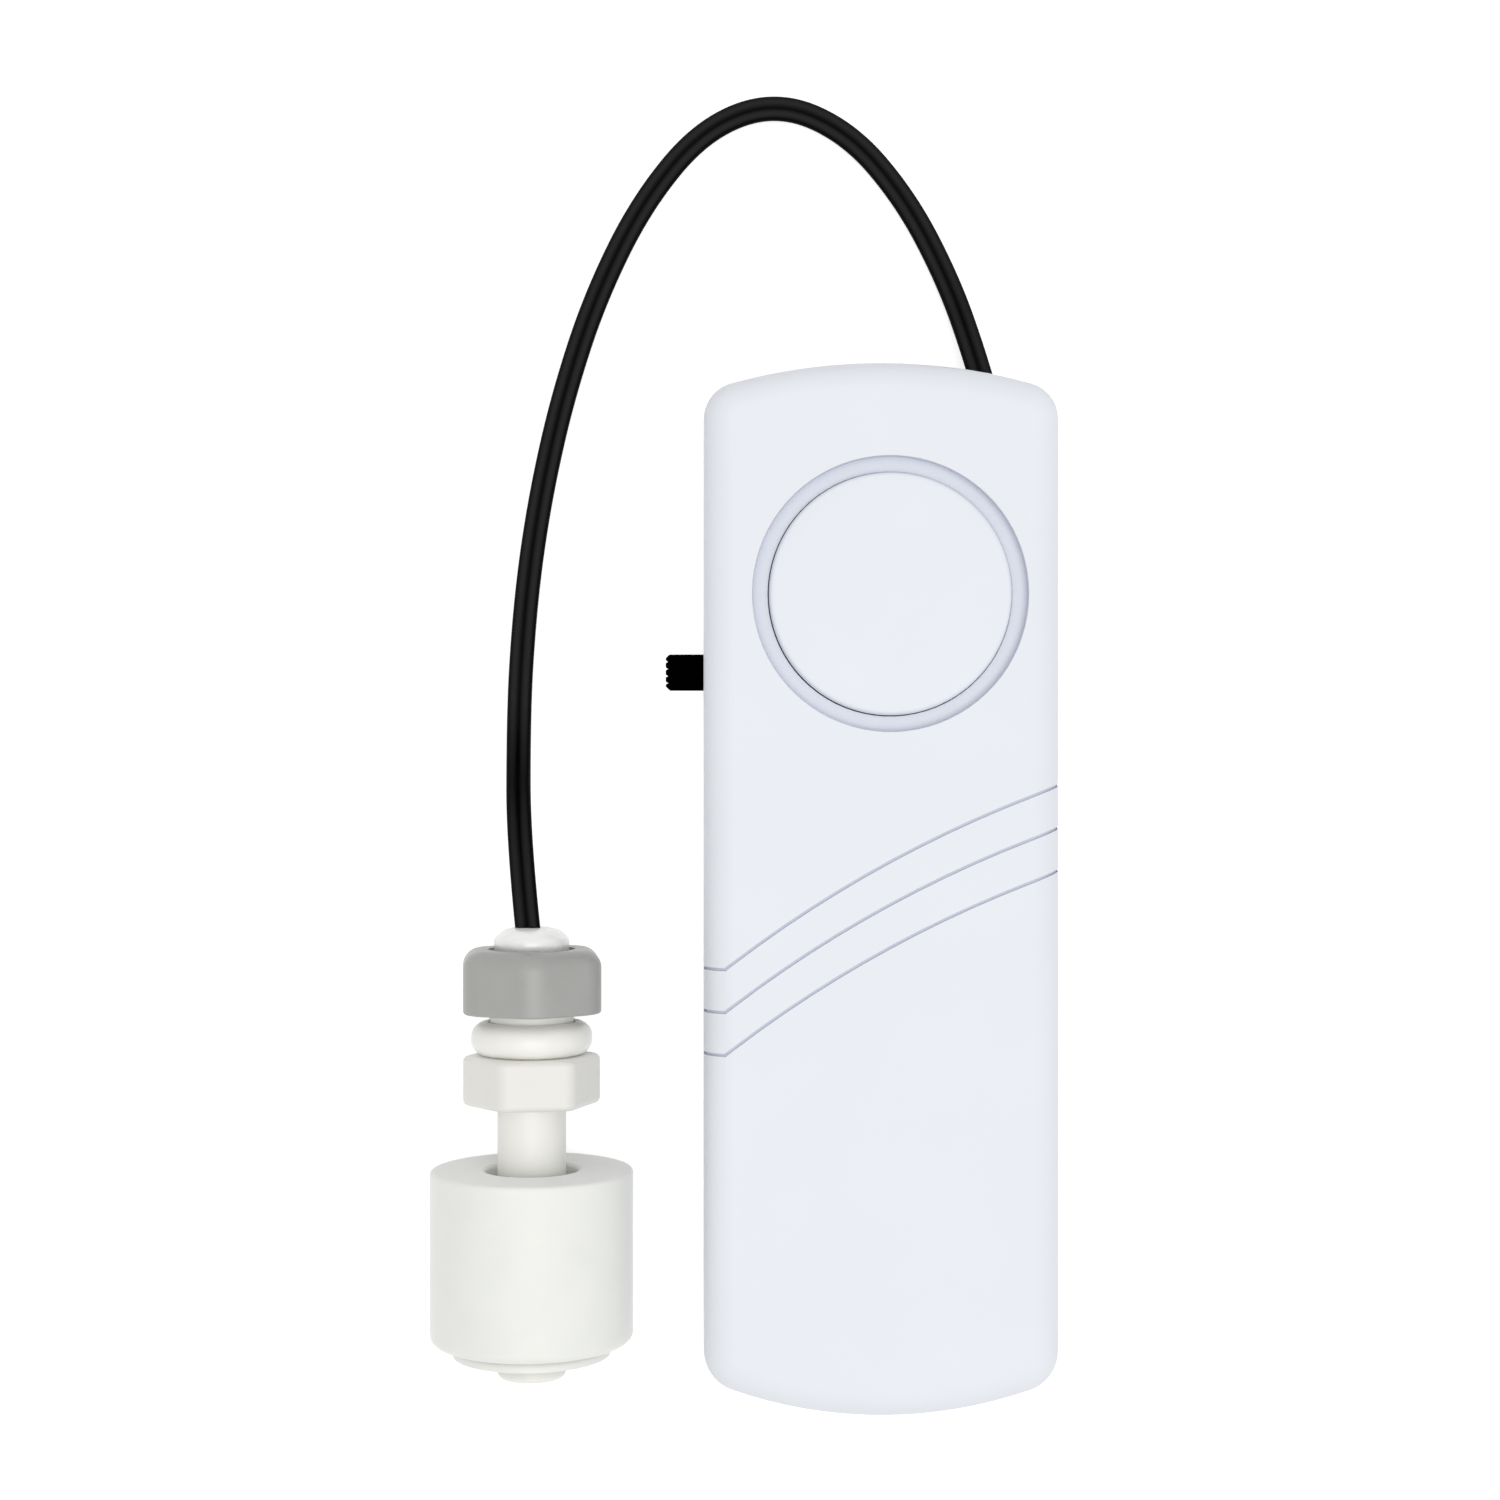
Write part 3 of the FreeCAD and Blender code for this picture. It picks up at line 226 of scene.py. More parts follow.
class WaterAlarmProbe(PropertyGroup):
    """Float switch"""

    stem_colour: colour("Stem colour", "Natural white of the stem", (0.907, 0.897, 0.857))
    # The flange is the stem's plastic, given a darker copy of its colour as painted shade
    flange_shaded_colour: colour("Flange shaded colour", "White of the stem, darker as painted shade", (0.84, 0.83, 0.788))
    float_colour: colour("Float colour", "Natural white of the float", (0.885, 0.895, 0.852))
    nut_colour: colour("Nut colour", "Grey of the nut", (0.39, 0.391, 0.375))
    gasket_colour: colour("Gasket colour", "Clear silicone of the gasket", (0.965, 0.935, 0.87))
    resin_colour: colour("Resin colour", "White of the cast resin", (0.985, 0.985, 0.955))
    nut_edge: length("Nut edge", "How far the nut's corners are rounded", 0.00015)
    gasket_edge: length("Gasket edge", "How far the gasket's corners are rounded", 0.0001)
    stem_edge: length("Stem edge", "How far the stem's corners are rounded", 0.00008)
    clip_edge: length("Clip edge", "How far the clip's corners are rounded", 0.0001)


# Shader groups

COLOUR = "NodeSocketColor"
VALUE = "NodeSocketFloat"
VECTOR = "NodeSocketVector"


def fill(tree, node, values):
    """Sets each input that is named to its value, or links it where the value is a socket"""
    for label, value in values.items():
        if isinstance(value, NodeSocket):
            tree.links.new(value, node.inputs[label])
        else:
            node.inputs[label].default_value = value


def add_node(tree, kind, values=None, **attributes):
    node = tree.nodes.new(kind)
    for label, value in attributes.items():
        setattr(node, label, value)
    fill(tree, node, values or {})
    return node


def new_group(name, inputs, outputs):
    """A new group with what it is given and the node that takes what it puts out"""
    group = bpy.data.node_groups.new(name, "ShaderNodeTree")
    for label, kind, default in inputs:
        socket = group.interface.new_socket(name=label, in_out="INPUT", socket_type=kind)
        socket.default_value = default
    for label, kind in outputs:
        group.interface.new_socket(name=label, in_out="OUTPUT", socket_type=kind)
    given = group.nodes.new("NodeGroupInput").outputs
    return group, given, group.nodes.new("NodeGroupOutput")


def compute(tree, operation, *values, **attributes):
    numbered = dict(enumerate(values))
    return add_node(tree, "ShaderNodeMath", numbered, operation=operation, **attributes).outputs[0]


def map_range(tree, value, from_low, from_high, low, high):
    return add_node(tree, "ShaderNodeMapRange", {
        "Value": value, "From Min": from_low, "From Max": from_high, "To Min": low, "To Max": high,
    }).outputs["Result"]


def object_place(tree):
    return add_node(tree, "ShaderNodeTexCoord").outputs["Object"]


def noise_of_size(tree, size, detail, place):
    """Noise whose blotches are about as wide as the size given in metres"""
    scale = compute(tree, "DIVIDE", 1.0, size)
    values = {"Detail": detail, "Vector": place, "Scale": scale}
    return add_node(tree, "ShaderNodeTexNoise", values).outputs["Fac"]


def spread_around(tree, noise, middle, shift):
    """A noise turned into a value from middle minus shift to middle plus shift"""
    low, high = (compute(tree, operation, middle, shift) for operation in ("SUBTRACT", "ADD"))
    return map_range(tree, noise, NOISE_LOW, NOISE_HIGH, low, high)


def shaded(tree, tone, factor):
    """A colour made darker or lighter by a factor"""
    scaled = add_node(tree, "ShaderNodeVectorMath", {0: tone, "Scale": factor}, operation="SCALE")
    return scaled.outputs[0]


def relief(tree, height, depth):
    """The normal of a relief that is as deep as the depth given in metres"""
    bump = add_node(tree, "ShaderNodeBump", {"Strength": 1.0, "Distance": depth, "Height": height})
    return bump.outputs["Normal"]


def put_out_mix(group, given, taken, mask, second):
    """Puts out the group's colour, mixed with its second one where the mask says so"""
    colours = {"Factor": mask, "A": given["Colour"], "B": given[second]}
    mix = add_node(group, "ShaderNodeMix", colours, data_type="RGBA")
    fill(group, taken, {"Colour": mix.outputs["Result"], "Mask": mask})


def moulded_skin_group():
    """Colour, roughness and fine grain of a moulded surface"""
    group, given, taken = new_group(
        "moulded_skin",
        [
            ("Colour", COLOUR, (0.8, 0.8, 0.8, 1)),
            ("Colour Shift", VALUE, 0.01),
            ("Patch Size", VALUE, 0.01),
            ("Roughness", VALUE, 0.4),
            ("Roughness Shift", VALUE, 0.05),
            ("Grain Size", VALUE, 0.0002),
            ("Grain Depth", VALUE, 0.00001),
        ],
        [("Colour", COLOUR), ("Roughness", VALUE), ("Normal", VECTOR)],
    )
    place = object_place(group)
    patches = noise_of_size(group, given["Patch Size"], 3.0, place)
    grain = noise_of_size(group, given["Grain Size"], 2.0, place)
    tone = spread_around(group, patches, 1.0, given["Colour Shift"])
    fill(group, taken, {
        "Colour": shaded(group, given["Colour"], tone),
        "Roughness": spread_around(group, patches, given["Roughness"], given["Roughness Shift"]),
        "Normal": relief(group, grain, given["Grain Depth"]),
    })
    return group


def edge_wear_group():
    """Rubbed corners, where the rounded normal leaves the surface's own"""
    group, given, taken = new_group(
        "edge_wear",
        [
            ("Colour", COLOUR, (0.8, 0.8, 0.8, 1)),
            ("Worn Colour", COLOUR, (0.9, 0.9, 0.9, 1)),
            ("Width", VALUE, 0.0002),
            ("Amount", VALUE, 0.5),
        ],
        [("Colour", COLOUR), ("Mask", VALUE)],
    )
    rounded = add_node(group, "ShaderNodeBevel", {"Radius": given["Width"]}, samples=4)
    surface = add_node(group, "ShaderNodeNewGeometry")
    normals = {0: rounded.outputs["Normal"], 1: surface.outputs["Normal"]}
    agree = add_node(group, "ShaderNodeVectorMath", normals, operation="DOT_PRODUCT")
    worn = map_range(group, agree.outputs["Value"], WEAR_START, WEAR_FULL, 0.0, 1.0)
    patches = {"Scale": WEAR_PATCHES, "Detail": 3.0, "Vector": object_place(group)}
    broken = add_node(group, "ShaderNodeTexNoise", patches).outputs["Fac"]
    worn = compute(group, "MULTIPLY", worn, broken)
    mask = compute(group, "MULTIPLY", worn, given["Amount"], use_clamp=True)
    put_out_mix(group, given, taken, mask, "Worn Colour")
    return group


def crevice_shade_group():
    """Painted shade: a darker colour in grooves, recesses and along joints, where little light
    reaches
    """
    group, given, taken = new_group(
        "crevice_shade",
        [
            ("Colour", COLOUR, (0.8, 0.8, 0.8, 1)),
            ("Painted Light Colour", COLOUR, (0.5, 0.5, 0.5, 1)),
            ("Reach", VALUE, 0.0005),
            ("Amount", VALUE, 0.5),
        ],
        [("Colour", COLOUR), ("Mask", VALUE)],
    )
    reach = {"Distance": given["Reach"]}
    open_share = add_node(group, "ShaderNodeAmbientOcclusion", reach, samples=6).outputs["AO"]
    depth = map_range(group, open_share, SHADE_START, SHADE_FULL, 0.0, 1.0)
    mask = compute(group, "MULTIPLY", depth, given["Amount"], use_clamp=True)
    put_out_mix(group, given, taken, mask, "Painted Light Colour")
    return group


def top_highlight_group():
    """Painted highlight: a lighter colour on the parts of a surface that look up"""
    group, given, taken = new_group(
        "top_highlight",
        [
            ("Colour", COLOUR, (0.02, 0.02, 0.02, 1)),
            ("Painted Light Colour", COLOUR, (0.1, 0.1, 0.1, 1)),
            ("Steepest", VALUE, 0.6),
        ],
        [("Colour", COLOUR), ("Mask", VALUE)],
    )
    surface = add_node(group, "ShaderNodeNewGeometry")
    parts = add_node(group, "ShaderNodeSeparateXYZ", {0: surface.outputs["Normal"]})
    mask = map_range(group, parts.outputs["Z"], given["Steepest"], 1.0, 0.0, 1.0)
    put_out_mix(group, given, taken, mask, "Painted Light Colour")
    return group


def brushed_lines_group():
    """Fine drawn or brushed lines on metal"""
    group, given, taken = new_group(
        "brushed_lines",
        [
            ("Colour", COLOUR, (0.7, 0.7, 0.7, 1)),
            ("Line Size", VALUE, 0.0001),
            ("Stretch", VECTOR, (1.0, 20.0, 1.0)),
            ("Roughness", VALUE, 0.3),
            ("Depth", VALUE, 0.000003),
        ],
        [("Colour", COLOUR), ("Roughness", VALUE), ("Normal", VECTOR)],
    )
    stretch = {0: object_place(group), 1: given["Stretch"]}
    pulled = add_node(group, "ShaderNodeVectorMath", stretch, operation="DIVIDE").outputs[0]
    lines = noise_of_size(group, given["Line Size"], 4.0, pulled)
    tone = map_range(group, lines, NOISE_LOW, NOISE_HIGH, 0.9, 1.06)
    fill(group, taken, {
        "Colour": shaded(group, given["Colour"], tone),
        "Roughness": compute(group, "MULTIPLY", given["Roughness"], tone),
        "Normal": relief(group, lines, given["Depth"]),
    })
    return group


GROUP_MAKERS = {
    "moulded_skin": moulded_skin_group,
    "edge_wear": edge_wear_group,
    "crevice_shade": crevice_shade_group,
    "top_highlight": top_highlight_group,
    "brushed_lines": brushed_lines_group,
}


# Materials

def new_material(name):
    material = bpy.data.materials.new(name)
    material.use_nodes = True
    tree = material.node_tree
    return material, tree, tree.nodes["Principled BSDF"]


def place_group(tree, name, values):
    """Puts a shader group into a material, made if it isn't there yet, and gives its outputs"""
    group = bpy.data.node_groups.get(name) or GROUP_MAKERS[name]()
    return add_node(tree, "ShaderNodeGroup", values, node_tree=group).outputs


def rgba(tone):
    return (*tone, 1.0)


def moulded(
    name, tone, roughness=0.4, grain_size=0.00016, grain_depth=0.000004, colour_shift=0.012,
    patch_size=0.012, painted_shade=None, painted_highlight=None, wear=None, sockets=None,
):
    """A moulded plastic or rubber with its grain

    Painted shade in its joints and recesses is (colour, reach, amount), a painted highlight on
    faces that look up is (colour, steepest slope), and wear of its corners is (colour, width,
    amount).
    """
    material, tree, shader = new_material(name)
    skin = place_group(tree, "moulded_skin", {
        "Colour": rgba(tone), "Colour Shift": colour_shift, "Patch Size": patch_size,
        "Roughness": roughness, "Roughness Shift": roughness * ROUGHNESS_SHARE,
        "Grain Size": grain_size, "Grain Depth": grain_depth,
    })
    last = skin["Colour"]
    # Painted shade: darker where little of the surroundings is open
    if painted_shade:
        shade_colour, reach, amount = painted_shade
        last = place_group(tree, "crevice_shade", {
            "Colour": last, "Painted Light Colour": rgba(shade_colour), "Reach": reach, "Amount": amount,
        })["Colour"]
    # Painted highlight: lighter on faces that look up
    if painted_highlight:
        highlight_colour, steepest = painted_highlight
        last = place_group(tree, "top_highlight", {
            "Colour": last, "Painted Light Colour": rgba(highlight_colour), "Steepest": steepest,
        })["Colour"]
    if wear:
        worn_colour, width, amount = wear
        last = place_group(tree, "edge_wear", {
            "Colour": last, "Worn Colour": rgba(worn_colour), "Width": width, "Amount": amount,
        })["Colour"]
    fill(tree, shader, {
        "Base Color": last, "Roughness": skin["Roughness"], "Normal": skin["Normal"],
        **(sockets or {}),
    })
    return material


def soft_white(subsurface, reach, sheen):
    """Sockets of white plastic, silicone or resin: light spreads inside, and edges glow a little"""
    return {
        "Subsurface Weight": subsurface, "Subsurface Scale": reach,
        "Subsurface Radius": (1.0, 0.98, 0.94), "Sheen Weight": sheen, "Sheen Roughness": 0.4,
    }


def metal(
    name, tone, roughness=0.3, line_size=0.00008, stretch=(1.0, 12.0, 1.0), depth=0.000001
):
    """A plated or drawn metal with fine lines"""
    material, tree, shader = new_material(name)
    lines = place_group(tree, "brushed_lines", {
        "Colour": rgba(tone), "Line Size": line_size, "Stretch": stretch,
        "Roughness": roughness, "Depth": depth,
    })
    fill(tree, shader, {
        "Base Color": lines["Colour"], "Roughness": lines["Roughness"], "Normal": lines["Normal"],
        "Metallic": 1.0,
    })
    return material


# Meshes

def merged_copy(node):
    """A bmesh of a CAD node with its loose triangles merged"""
    mesh = bmesh.new()
    mesh.from_mesh(NODES[node].data)
    bmesh.ops.remove_doubles(mesh, verts=mesh.verts, dist=SAME_PLACE)
    return mesh


def sharp_edges(mesh, degrees):
    limit = math.radians(degrees)
    return [edge for edge in mesh.edges if edge.is_manifold and edge.calc_face_angle() > limit]


def round_edges(mesh, edges, width, steps):
    bmesh.ops.bevel(
        mesh, geom=edges, offset=width, offset_type="OFFSET", segments=steps, profile=0.5,
        affect="EDGES", clamp_overlap=False, material=-1,
    )


def soft_copy(node, width, steps=2, degrees=CORNER, spared=None):
    """A bmesh of a CAD node with its corners rounded, apart from edges that are spared"""
    mesh = merged_copy(node)
    bmesh.ops.dissolve_limit(
        mesh, angle_limit=math.radians(SAME_PLANE), verts=mesh.verts, edges=mesh.edges
    )
    corners = [edge for edge in sharp_edges(mesh, degrees) if not (spared and spared(edge))]
    round_edges(mesh, corners, width, steps)
    return mesh


def lathe(outline, place, steps):
    """Spins an outline of (radius, height) points round the upright line through a place"""
    mesh = bmesh.new()
    verts = [mesh.verts.new(place + Vector((radius, 0, height))) for radius, height in outline]
    edges = [mesh.edges.new(pair) for pair in zip(verts, verts[1:])]
    bmesh.ops.spin(
        mesh, geom=verts + edges, cent=place, axis=(0, 0, 1), angle=2 * math.pi, steps=steps,
        use_merge=True, use_duplicate=False,
    )
    bmesh.ops.remove_doubles(mesh, verts=mesh.verts, dist=SAME_PLACE)
    bmesh.ops.recalc_face_normals(mesh, faces=mesh.faces)
    return mesh


def hold_flats(data, flat_area, smooth_degrees):
    """Weighs normals at a corner by area and angle, and keeps large flat faces level all over"""
    smooth = math.cos(math.radians(smooth_degrees))
    planes = {}
    touching = [[] for vertex in data.vertices]
    for face in data.polygons:
        normal = face.normal.copy()
        corners = [data.vertices[index].co for index in face.vertices]
        sides = [end - start for start, end in zip(corners, corners[1:] + corners[:1])]
        for index, before, after in zip(face.vertices, sides[-1:] + sides[:-1], sides):
            touching[index].append((normal, face.area * (math.pi - before.angle(after, 0))))
        longest = max(side.length for side in sides)
        if face.area > max(flat_area, FLAT_WIDTH * longest):
            offset = normal.dot(face.center)
            key = tuple(round(part, PLANE_DIGITS) for part in (*normal, offset / MM))
            planes[key] = (normal, offset)
    normals = []
    for face in data.polygons:
        near = [
            (normal, offset) for normal, offset in planes.values()
            if normal.dot(face.normal) > smooth
        ]
        for index in face.vertices:
            place = data.vertices[index].co
            level = [
                normal for normal, offset in near
                if abs(normal.dot(place) - offset) < 2 * SAME_PLACE
            ]
            mixed = Vector()
            for normal, weight in touching[index]:
                if normal.dot(face.normal) > smooth:
                    mixed += normal * weight
            normals.append(level[0] if level else mixed.normalized())
    data.normals_split_custom_set(normals)


def piece_from(mesh, name, material, body, slot, node, smooth_degrees=SMOOTH, flat_area=None):
    """Makes the finished piece, in place of the CAD node that it stands for"""
    data = bpy.data.meshes.new(name)
    mesh.to_mesh(data)
    mesh.free()
    data.polygons.foreach_set("use_smooth", [True] * len(data.polygons))
    data.set_sharp_from_angle(angle=math.radians(smooth_degrees))
    if flat_area:
        hold_flats(data, flat_area, smooth_degrees)
    data.materials.append(material)
    piece = bpy.data.objects.new(name, data)
    bpy.context.scene.collection.objects.link(piece)
    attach(piece, body)
    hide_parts(node)
    return piece


def dress(material, *nodes):
    """Gives CAD nodes that stay their material"""
    for node in nodes:
        data = NODES[node].data
        data.materials.clear()
        data.materials.append(material)


# Operators

class WaterAlarmOperator(Operator):
    bl_options = {"REGISTER", "UNDO"}


class WATERALARM_OT_stage(WaterAlarmOperator):
    """Makes the floor, the light and the camera"""

    bl_idname = "wateralarm.stage"
    bl_label = "Stage"

    def execute(self, context):
        stage = context.scene.water_alarm_stage
        context.scene.view_settings.view_transform = "Standard"
        self.make_floor(context.scene, stage)
        self.make_sky(context.scene, stage)
        self.make_key(context.scene, stage)
        self.make_camera(context.scene, stage)
        return {"FINISHED"}

    def make_floor(self, scene, stage):
        mesh = bmesh.new()
        bmesh.ops.create_circle(mesh, cap_ends=True, radius=stage.floor_radius, segments=64)
        data = bpy.data.meshes.new("floor")
        mesh.to_mesh(data)
        mesh.free()
        data.transform(Matrix.Translation((0, 0, -stage.floor_drop)))
        floor = bpy.data.objects.new("floor", data)
        scene.collection.objects.link(floor)
        material, tree, shader = new_material("floor_paper")
        skin = place_group(tree, "moulded_skin", {
            "Colour": rgba(stage.floor_colour), "Colour Shift": 0.004, "Patch Size": 0.08,
            "Roughness": 0.9, "Roughness Shift": 0.02,
        })
        fill(tree, shader, {
            "Base Color": skin["Colour"],
            "Roughness": skin["Roughness"],
            "Specular IOR Level": 0.1,
            "Emission Color": (1, 1, 1, 1),
            "Emission Strength": compute(tree, "MULTIPLY", self.seen_rays(tree), stage.floor_lift),
        })
        data.materials.append(material)

    def seen_rays(self, tree):
        """1 for rays from the camera, in a reflection or through glass"""
        path = add_node(tree, "ShaderNodeLightPath").outputs
        seen = compute(tree, "MAXIMUM", path["Is Camera Ray"], path["Is Glossy Ray"])
        return compute(tree, "MAXIMUM", seen, path["Is Transmission Ray"])

    def make_sky(self, scene, stage):
        scene.world = bpy.data.worlds.new("sky")
        scene.world.use_nodes = True
        tree = scene.world.node_tree
        fill(tree, tree.nodes["Background"], {
            "Color": (1, 1, 1, 1),
            "Strength": map_range(tree, self.seen_rays(tree), 0.0, 1.0, stage.sky, 1.0),
        })

    def make_key(self, scene, stage):
        lamp = bpy.data.lights.new("key_lamp", "AREA")
        lamp.shape = "SQUARE"
        lamp.size = stage.key_size
        lamp.energy = stage.key_power
        key = bpy.data.objects.new("key_lamp", lamp)
        key.location = (stage.key_x, stage.key_y, stage.key_height)
        key.rotation_euler = (-key.location).to_track_quat("-Z", "Y").to_euler()
        scene.collection.objects.link(key)

    def make_camera(self, scene, stage):
        lens = bpy.data.cameras.new("camera")
        lens.lens = stage.lens
        lens.sensor_width = 36.0
        lens.clip_start = 0.01
        camera = bpy.data.objects.new("camera", lens)
        camera.location = (stage.camera_x, stage.camera_y, stage.camera_height)
        scene.collection.objects.link(camera)
        scene.camera = camera


class WATERALARM_OT_cord(WaterAlarmOperator):
    """Makes the two-core cord along its route"""

    bl_idname = "wateralarm.cord"
    bl_label = "Cord"

    def execute(self, context):
        cord = context.scene.water_alarm_cord
        line = self.make_line(context)
        path = [tuple(vertex.co) for vertex in self.mesh_of(context, line).vertices]
        profile = self.make_profile(context, cord)
        line.data.bevel_mode = "OBJECT"
        line.data.bevel_object = profile
        line.data.use_fill_caps = True
        context.view_layer.update()
        mesh = bmesh.new()
        mesh.from_mesh(self.mesh_of(context, line))
        bpy.data.objects.remove(line)
        bpy.data.objects.remove(profile)
        bmesh.ops.remove_doubles(mesh, verts=mesh.verts, dist=SAME_PLACE)
        bmesh.ops.holes_fill(mesh, edges=mesh.edges)
        bmesh.ops.recalc_face_normals(mesh, faces=mesh.faces)
        # The cord's insulation gets a painted highlight on its crests
        material = moulded(
            "cord_insulation", cord.sleeve_colour, roughness=0.5, grain_size=0.0004,
            grain_depth=0.000006, colour_shift=0.15, patch_size=0.004,
            painted_highlight=(cord.crest_highlight_colour, 0.7), sockets={"Specular IOR Level": 0.03},
        )
        piece = piece_from(
            mesh, "two_core_cord", material, "alarm", "cord_black", "cord", smooth_degrees=60.0
        )
        steps = [(Vector(end) - Vector(start)).length for start, end in zip(path, path[1:])]
        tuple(path[0])
        return {"FINISHED"}

    def make_line(self, context):
        curve = bpy.data.curves.new("cord_line", "CURVE")
        curve.dimensions = "3D"
        curve.twist_mode = "Z_UP"
        curve.resolution_u = 20
        spline = curve.splines.new("NURBS")
        spline.points.add(len(CORD_ROUTE) - 1)
        for point, place in zip(spline.points, CORD_ROUTE):
            point.co = (*place, 1.0)
        spline.order_u = 3
        spline.use_endpoint_u = True
        line = bpy.data.objects.new("cord_line", curve)
        context.scene.collection.objects.link(line)
        context.view_layer.update()
        return line

    def mesh_of(self, context, line):
        evaluated = line.evaluated_get(context.evaluated_depsgraph_get())
        return bpy.data.meshes.new_from_object(evaluated)

    def make_profile(self, context, cord):
        """Outline of two round cores with a web between them"""
        curve = bpy.data.curves.new("cord_profile", "CURVE")
        curve.dimensions = "2D"
        half_turn = math.radians(128)
        arc_steps = 12
        corners = []
        for side in (1, -1):
            for step in range(arc_steps + 1):
                angle = -half_turn + 2 * half_turn * step / arc_steps
                x = side * (cord.core_offset + cord.core_radius * math.cos(angle))
                y = side * cord.core_radius * math.sin(angle)
                corners.append((x, y))
            corners.append((0, side * cord.web_height))
        spline = curve.splines.new("POLY")
        spline.points.add(len(corners) - 1)
        for point, corner in zip(spline.points, corners):
            point.co = (*corner, 0, 1)
        spline.use_cyclic_u = True
        profile = bpy.data.objects.new("cord_profile", curve)
        context.scene.collection.objects.link(profile)
        return profile


class WATERALARM_OT_housing(WaterAlarmOperator):
    """Makes the two shells and the battery door, with softened corners"""

    bl_idname = "wateralarm.housing"
    bl_label = "Housing"

    def execute(self, context):
        housing = context.scene.water_alarm_housing
        # The shells get painted shade in their grooves, joints and the sounder's ring
        looks = {"painted_shade": ((0.62, 0.642, 0.735), 0.003, 1.0), "sockets": MATT}
        shell = moulded("shell_plastic", housing.shell_colour, roughness=0.42, **looks)
        door = moulded("door_plastic", housing.door_colour, roughness=0.46, **looks)
        for node, name, material, body, slot in (
            ("front_shell", "housing_front", shell, "alarm", "housing_white"),
            ("rear_shell", "housing_back", shell, "alarm", "housing_white"),
            ("battery_door", "sliding_door", door, "battery_door", "door_white"),
        ):
            mesh = soft_copy(
                node, housing.edge_width, housing.edge_steps, spared=self.is_groove_or_mouth
            )
            if node == "front_shell":
                steep = sharp_edges(mesh, degrees=60)
                mouth = [edge for edge in steep if self.at_well_mouth(edge)]
                round_edges(mesh, mouth, housing.well_edge, steps=3)
            piece_from(mesh, name, material, body, slot, node, flat_area=HOUSING_FLAT)
        return {"FINISHED"}

    def is_groove_or_mouth(self, edge):
        return self.in_groove(edge) or self.at_well_mouth(edge)

    def in_groove(self, edge):
        """True for the edges of the three lines in the front, which stay crisp"""
        middle = (edge.verts[0].co + edge.verts[1].co) / 2
        return middle.z > GROOVE_HEIGHT and middle.y < sounder_low.y - GROOVE_DISTANCE

    def at_well_mouth(self, edge):
        """True for the edges round the sounder's cap, where its well meets the ring"""
        return all(
            (vert.co - sounder_middle).xy.length < sounder_radius + WELL_OUT
            and sounder_high.z - WELL_DOWN < vert.co.z < sounder_high.z + WELL_UP
            for vert in edge.verts
        )


class WATERALARM_OT_sounder(WaterAlarmOperator):
    """Makes the sounder's domed cap"""

    bl_idname = "wateralarm.sounder"
    bl_label = "Sounder"

    def execute(self, context):
        housing = context.scene.water_alarm_housing
        crown = housing.sounder_crown
        top = sounder_high.z
        seat = sounder_low.z
        under = top - crown - housing.sounder_plate
        inner = sounder_radius - housing.sounder_skirt
        outer = sounder_radius + housing.sounder_collar
        collar_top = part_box("front_shell")[1].z - COLLAR_DEPTH
        # The top is a shallow dome, from its middle to the rim
        outline = [(sounder_radius * part, top - crown * part ** 2) for part in (0, 0.5, 0.8, 1)]
        outline += [
            (sounder_radius, collar_top), (outer, collar_top), (outer, seat), (inner, seat),
            (inner, under), (0, under),
        ]
        play = housing.sounder_play
        place = Vector((sounder_middle.x + play, sounder_middle.y + play, 0))
        mesh = lathe(outline, place, steps=128)
        rim = [
            edge for edge in sharp_edges(mesh, degrees=40)
            if all(vert.co.z > top - 2 * crown for vert in edge.verts)
        ]
        round_edges(mesh, rim, housing.sounder_rim, steps=5)
        material = moulded(
            "sounder_plastic", housing.sounder_colour, roughness=0.38, grain_depth=0.000003,
            sockets=MATT,
        )
        piece_from(mesh, "sounder_cap", material, "alarm", "sounder_white", "sounder_disc")
        return {"FINISHED"}


class WATERALARM_OT_knob(WaterAlarmOperator):
    """Makes the switch knob"""

    bl_idname = "wateralarm.knob"
    bl_label = "Switch knob"

    def execute(self, context):
        housing = context.scene.water_alarm_housing
        material = moulded(
            "knob_plastic", housing.knob_colour, roughness=0.55, colour_shift=0.2,
            patch_size=0.002, wear=((0.006, 0.006, 0.005), 0.00012, 0.6),
            sockets={"Specular IOR Level": 0.0},
        )
        piece_from(
            soft_copy("switch_knob", housing.knob_edge), "slide_knob", material, "knob",
            "knob_black", "switch_knob", flat_area=SMALL_FLAT,
        )
        return {"FINISHED"}


class WATERALARM_OT_nut(WaterAlarmOperator):
    """Makes the grey nut"""

    bl_idname = "wateralarm.nut"
    bl_label = "Nut"

    def execute(self, context):
        probe = context.scene.water_alarm_probe
        material = moulded(
            "nut_plastic", probe.nut_colour, roughness=0.4, colour_shift=0.03, patch_size=0.003,
            grain_size=0.00025, wear=((0.5, 0.5, 0.49), 0.0002, 0.5),
        )
        piece_from(
            soft_copy("probe_nut", probe.nut_edge), "hexagon_nut", material, "nut",
            "nut_grey", "probe_nut", flat_area=SMALL_FLAT,
        )
        return {"FINISHED"}


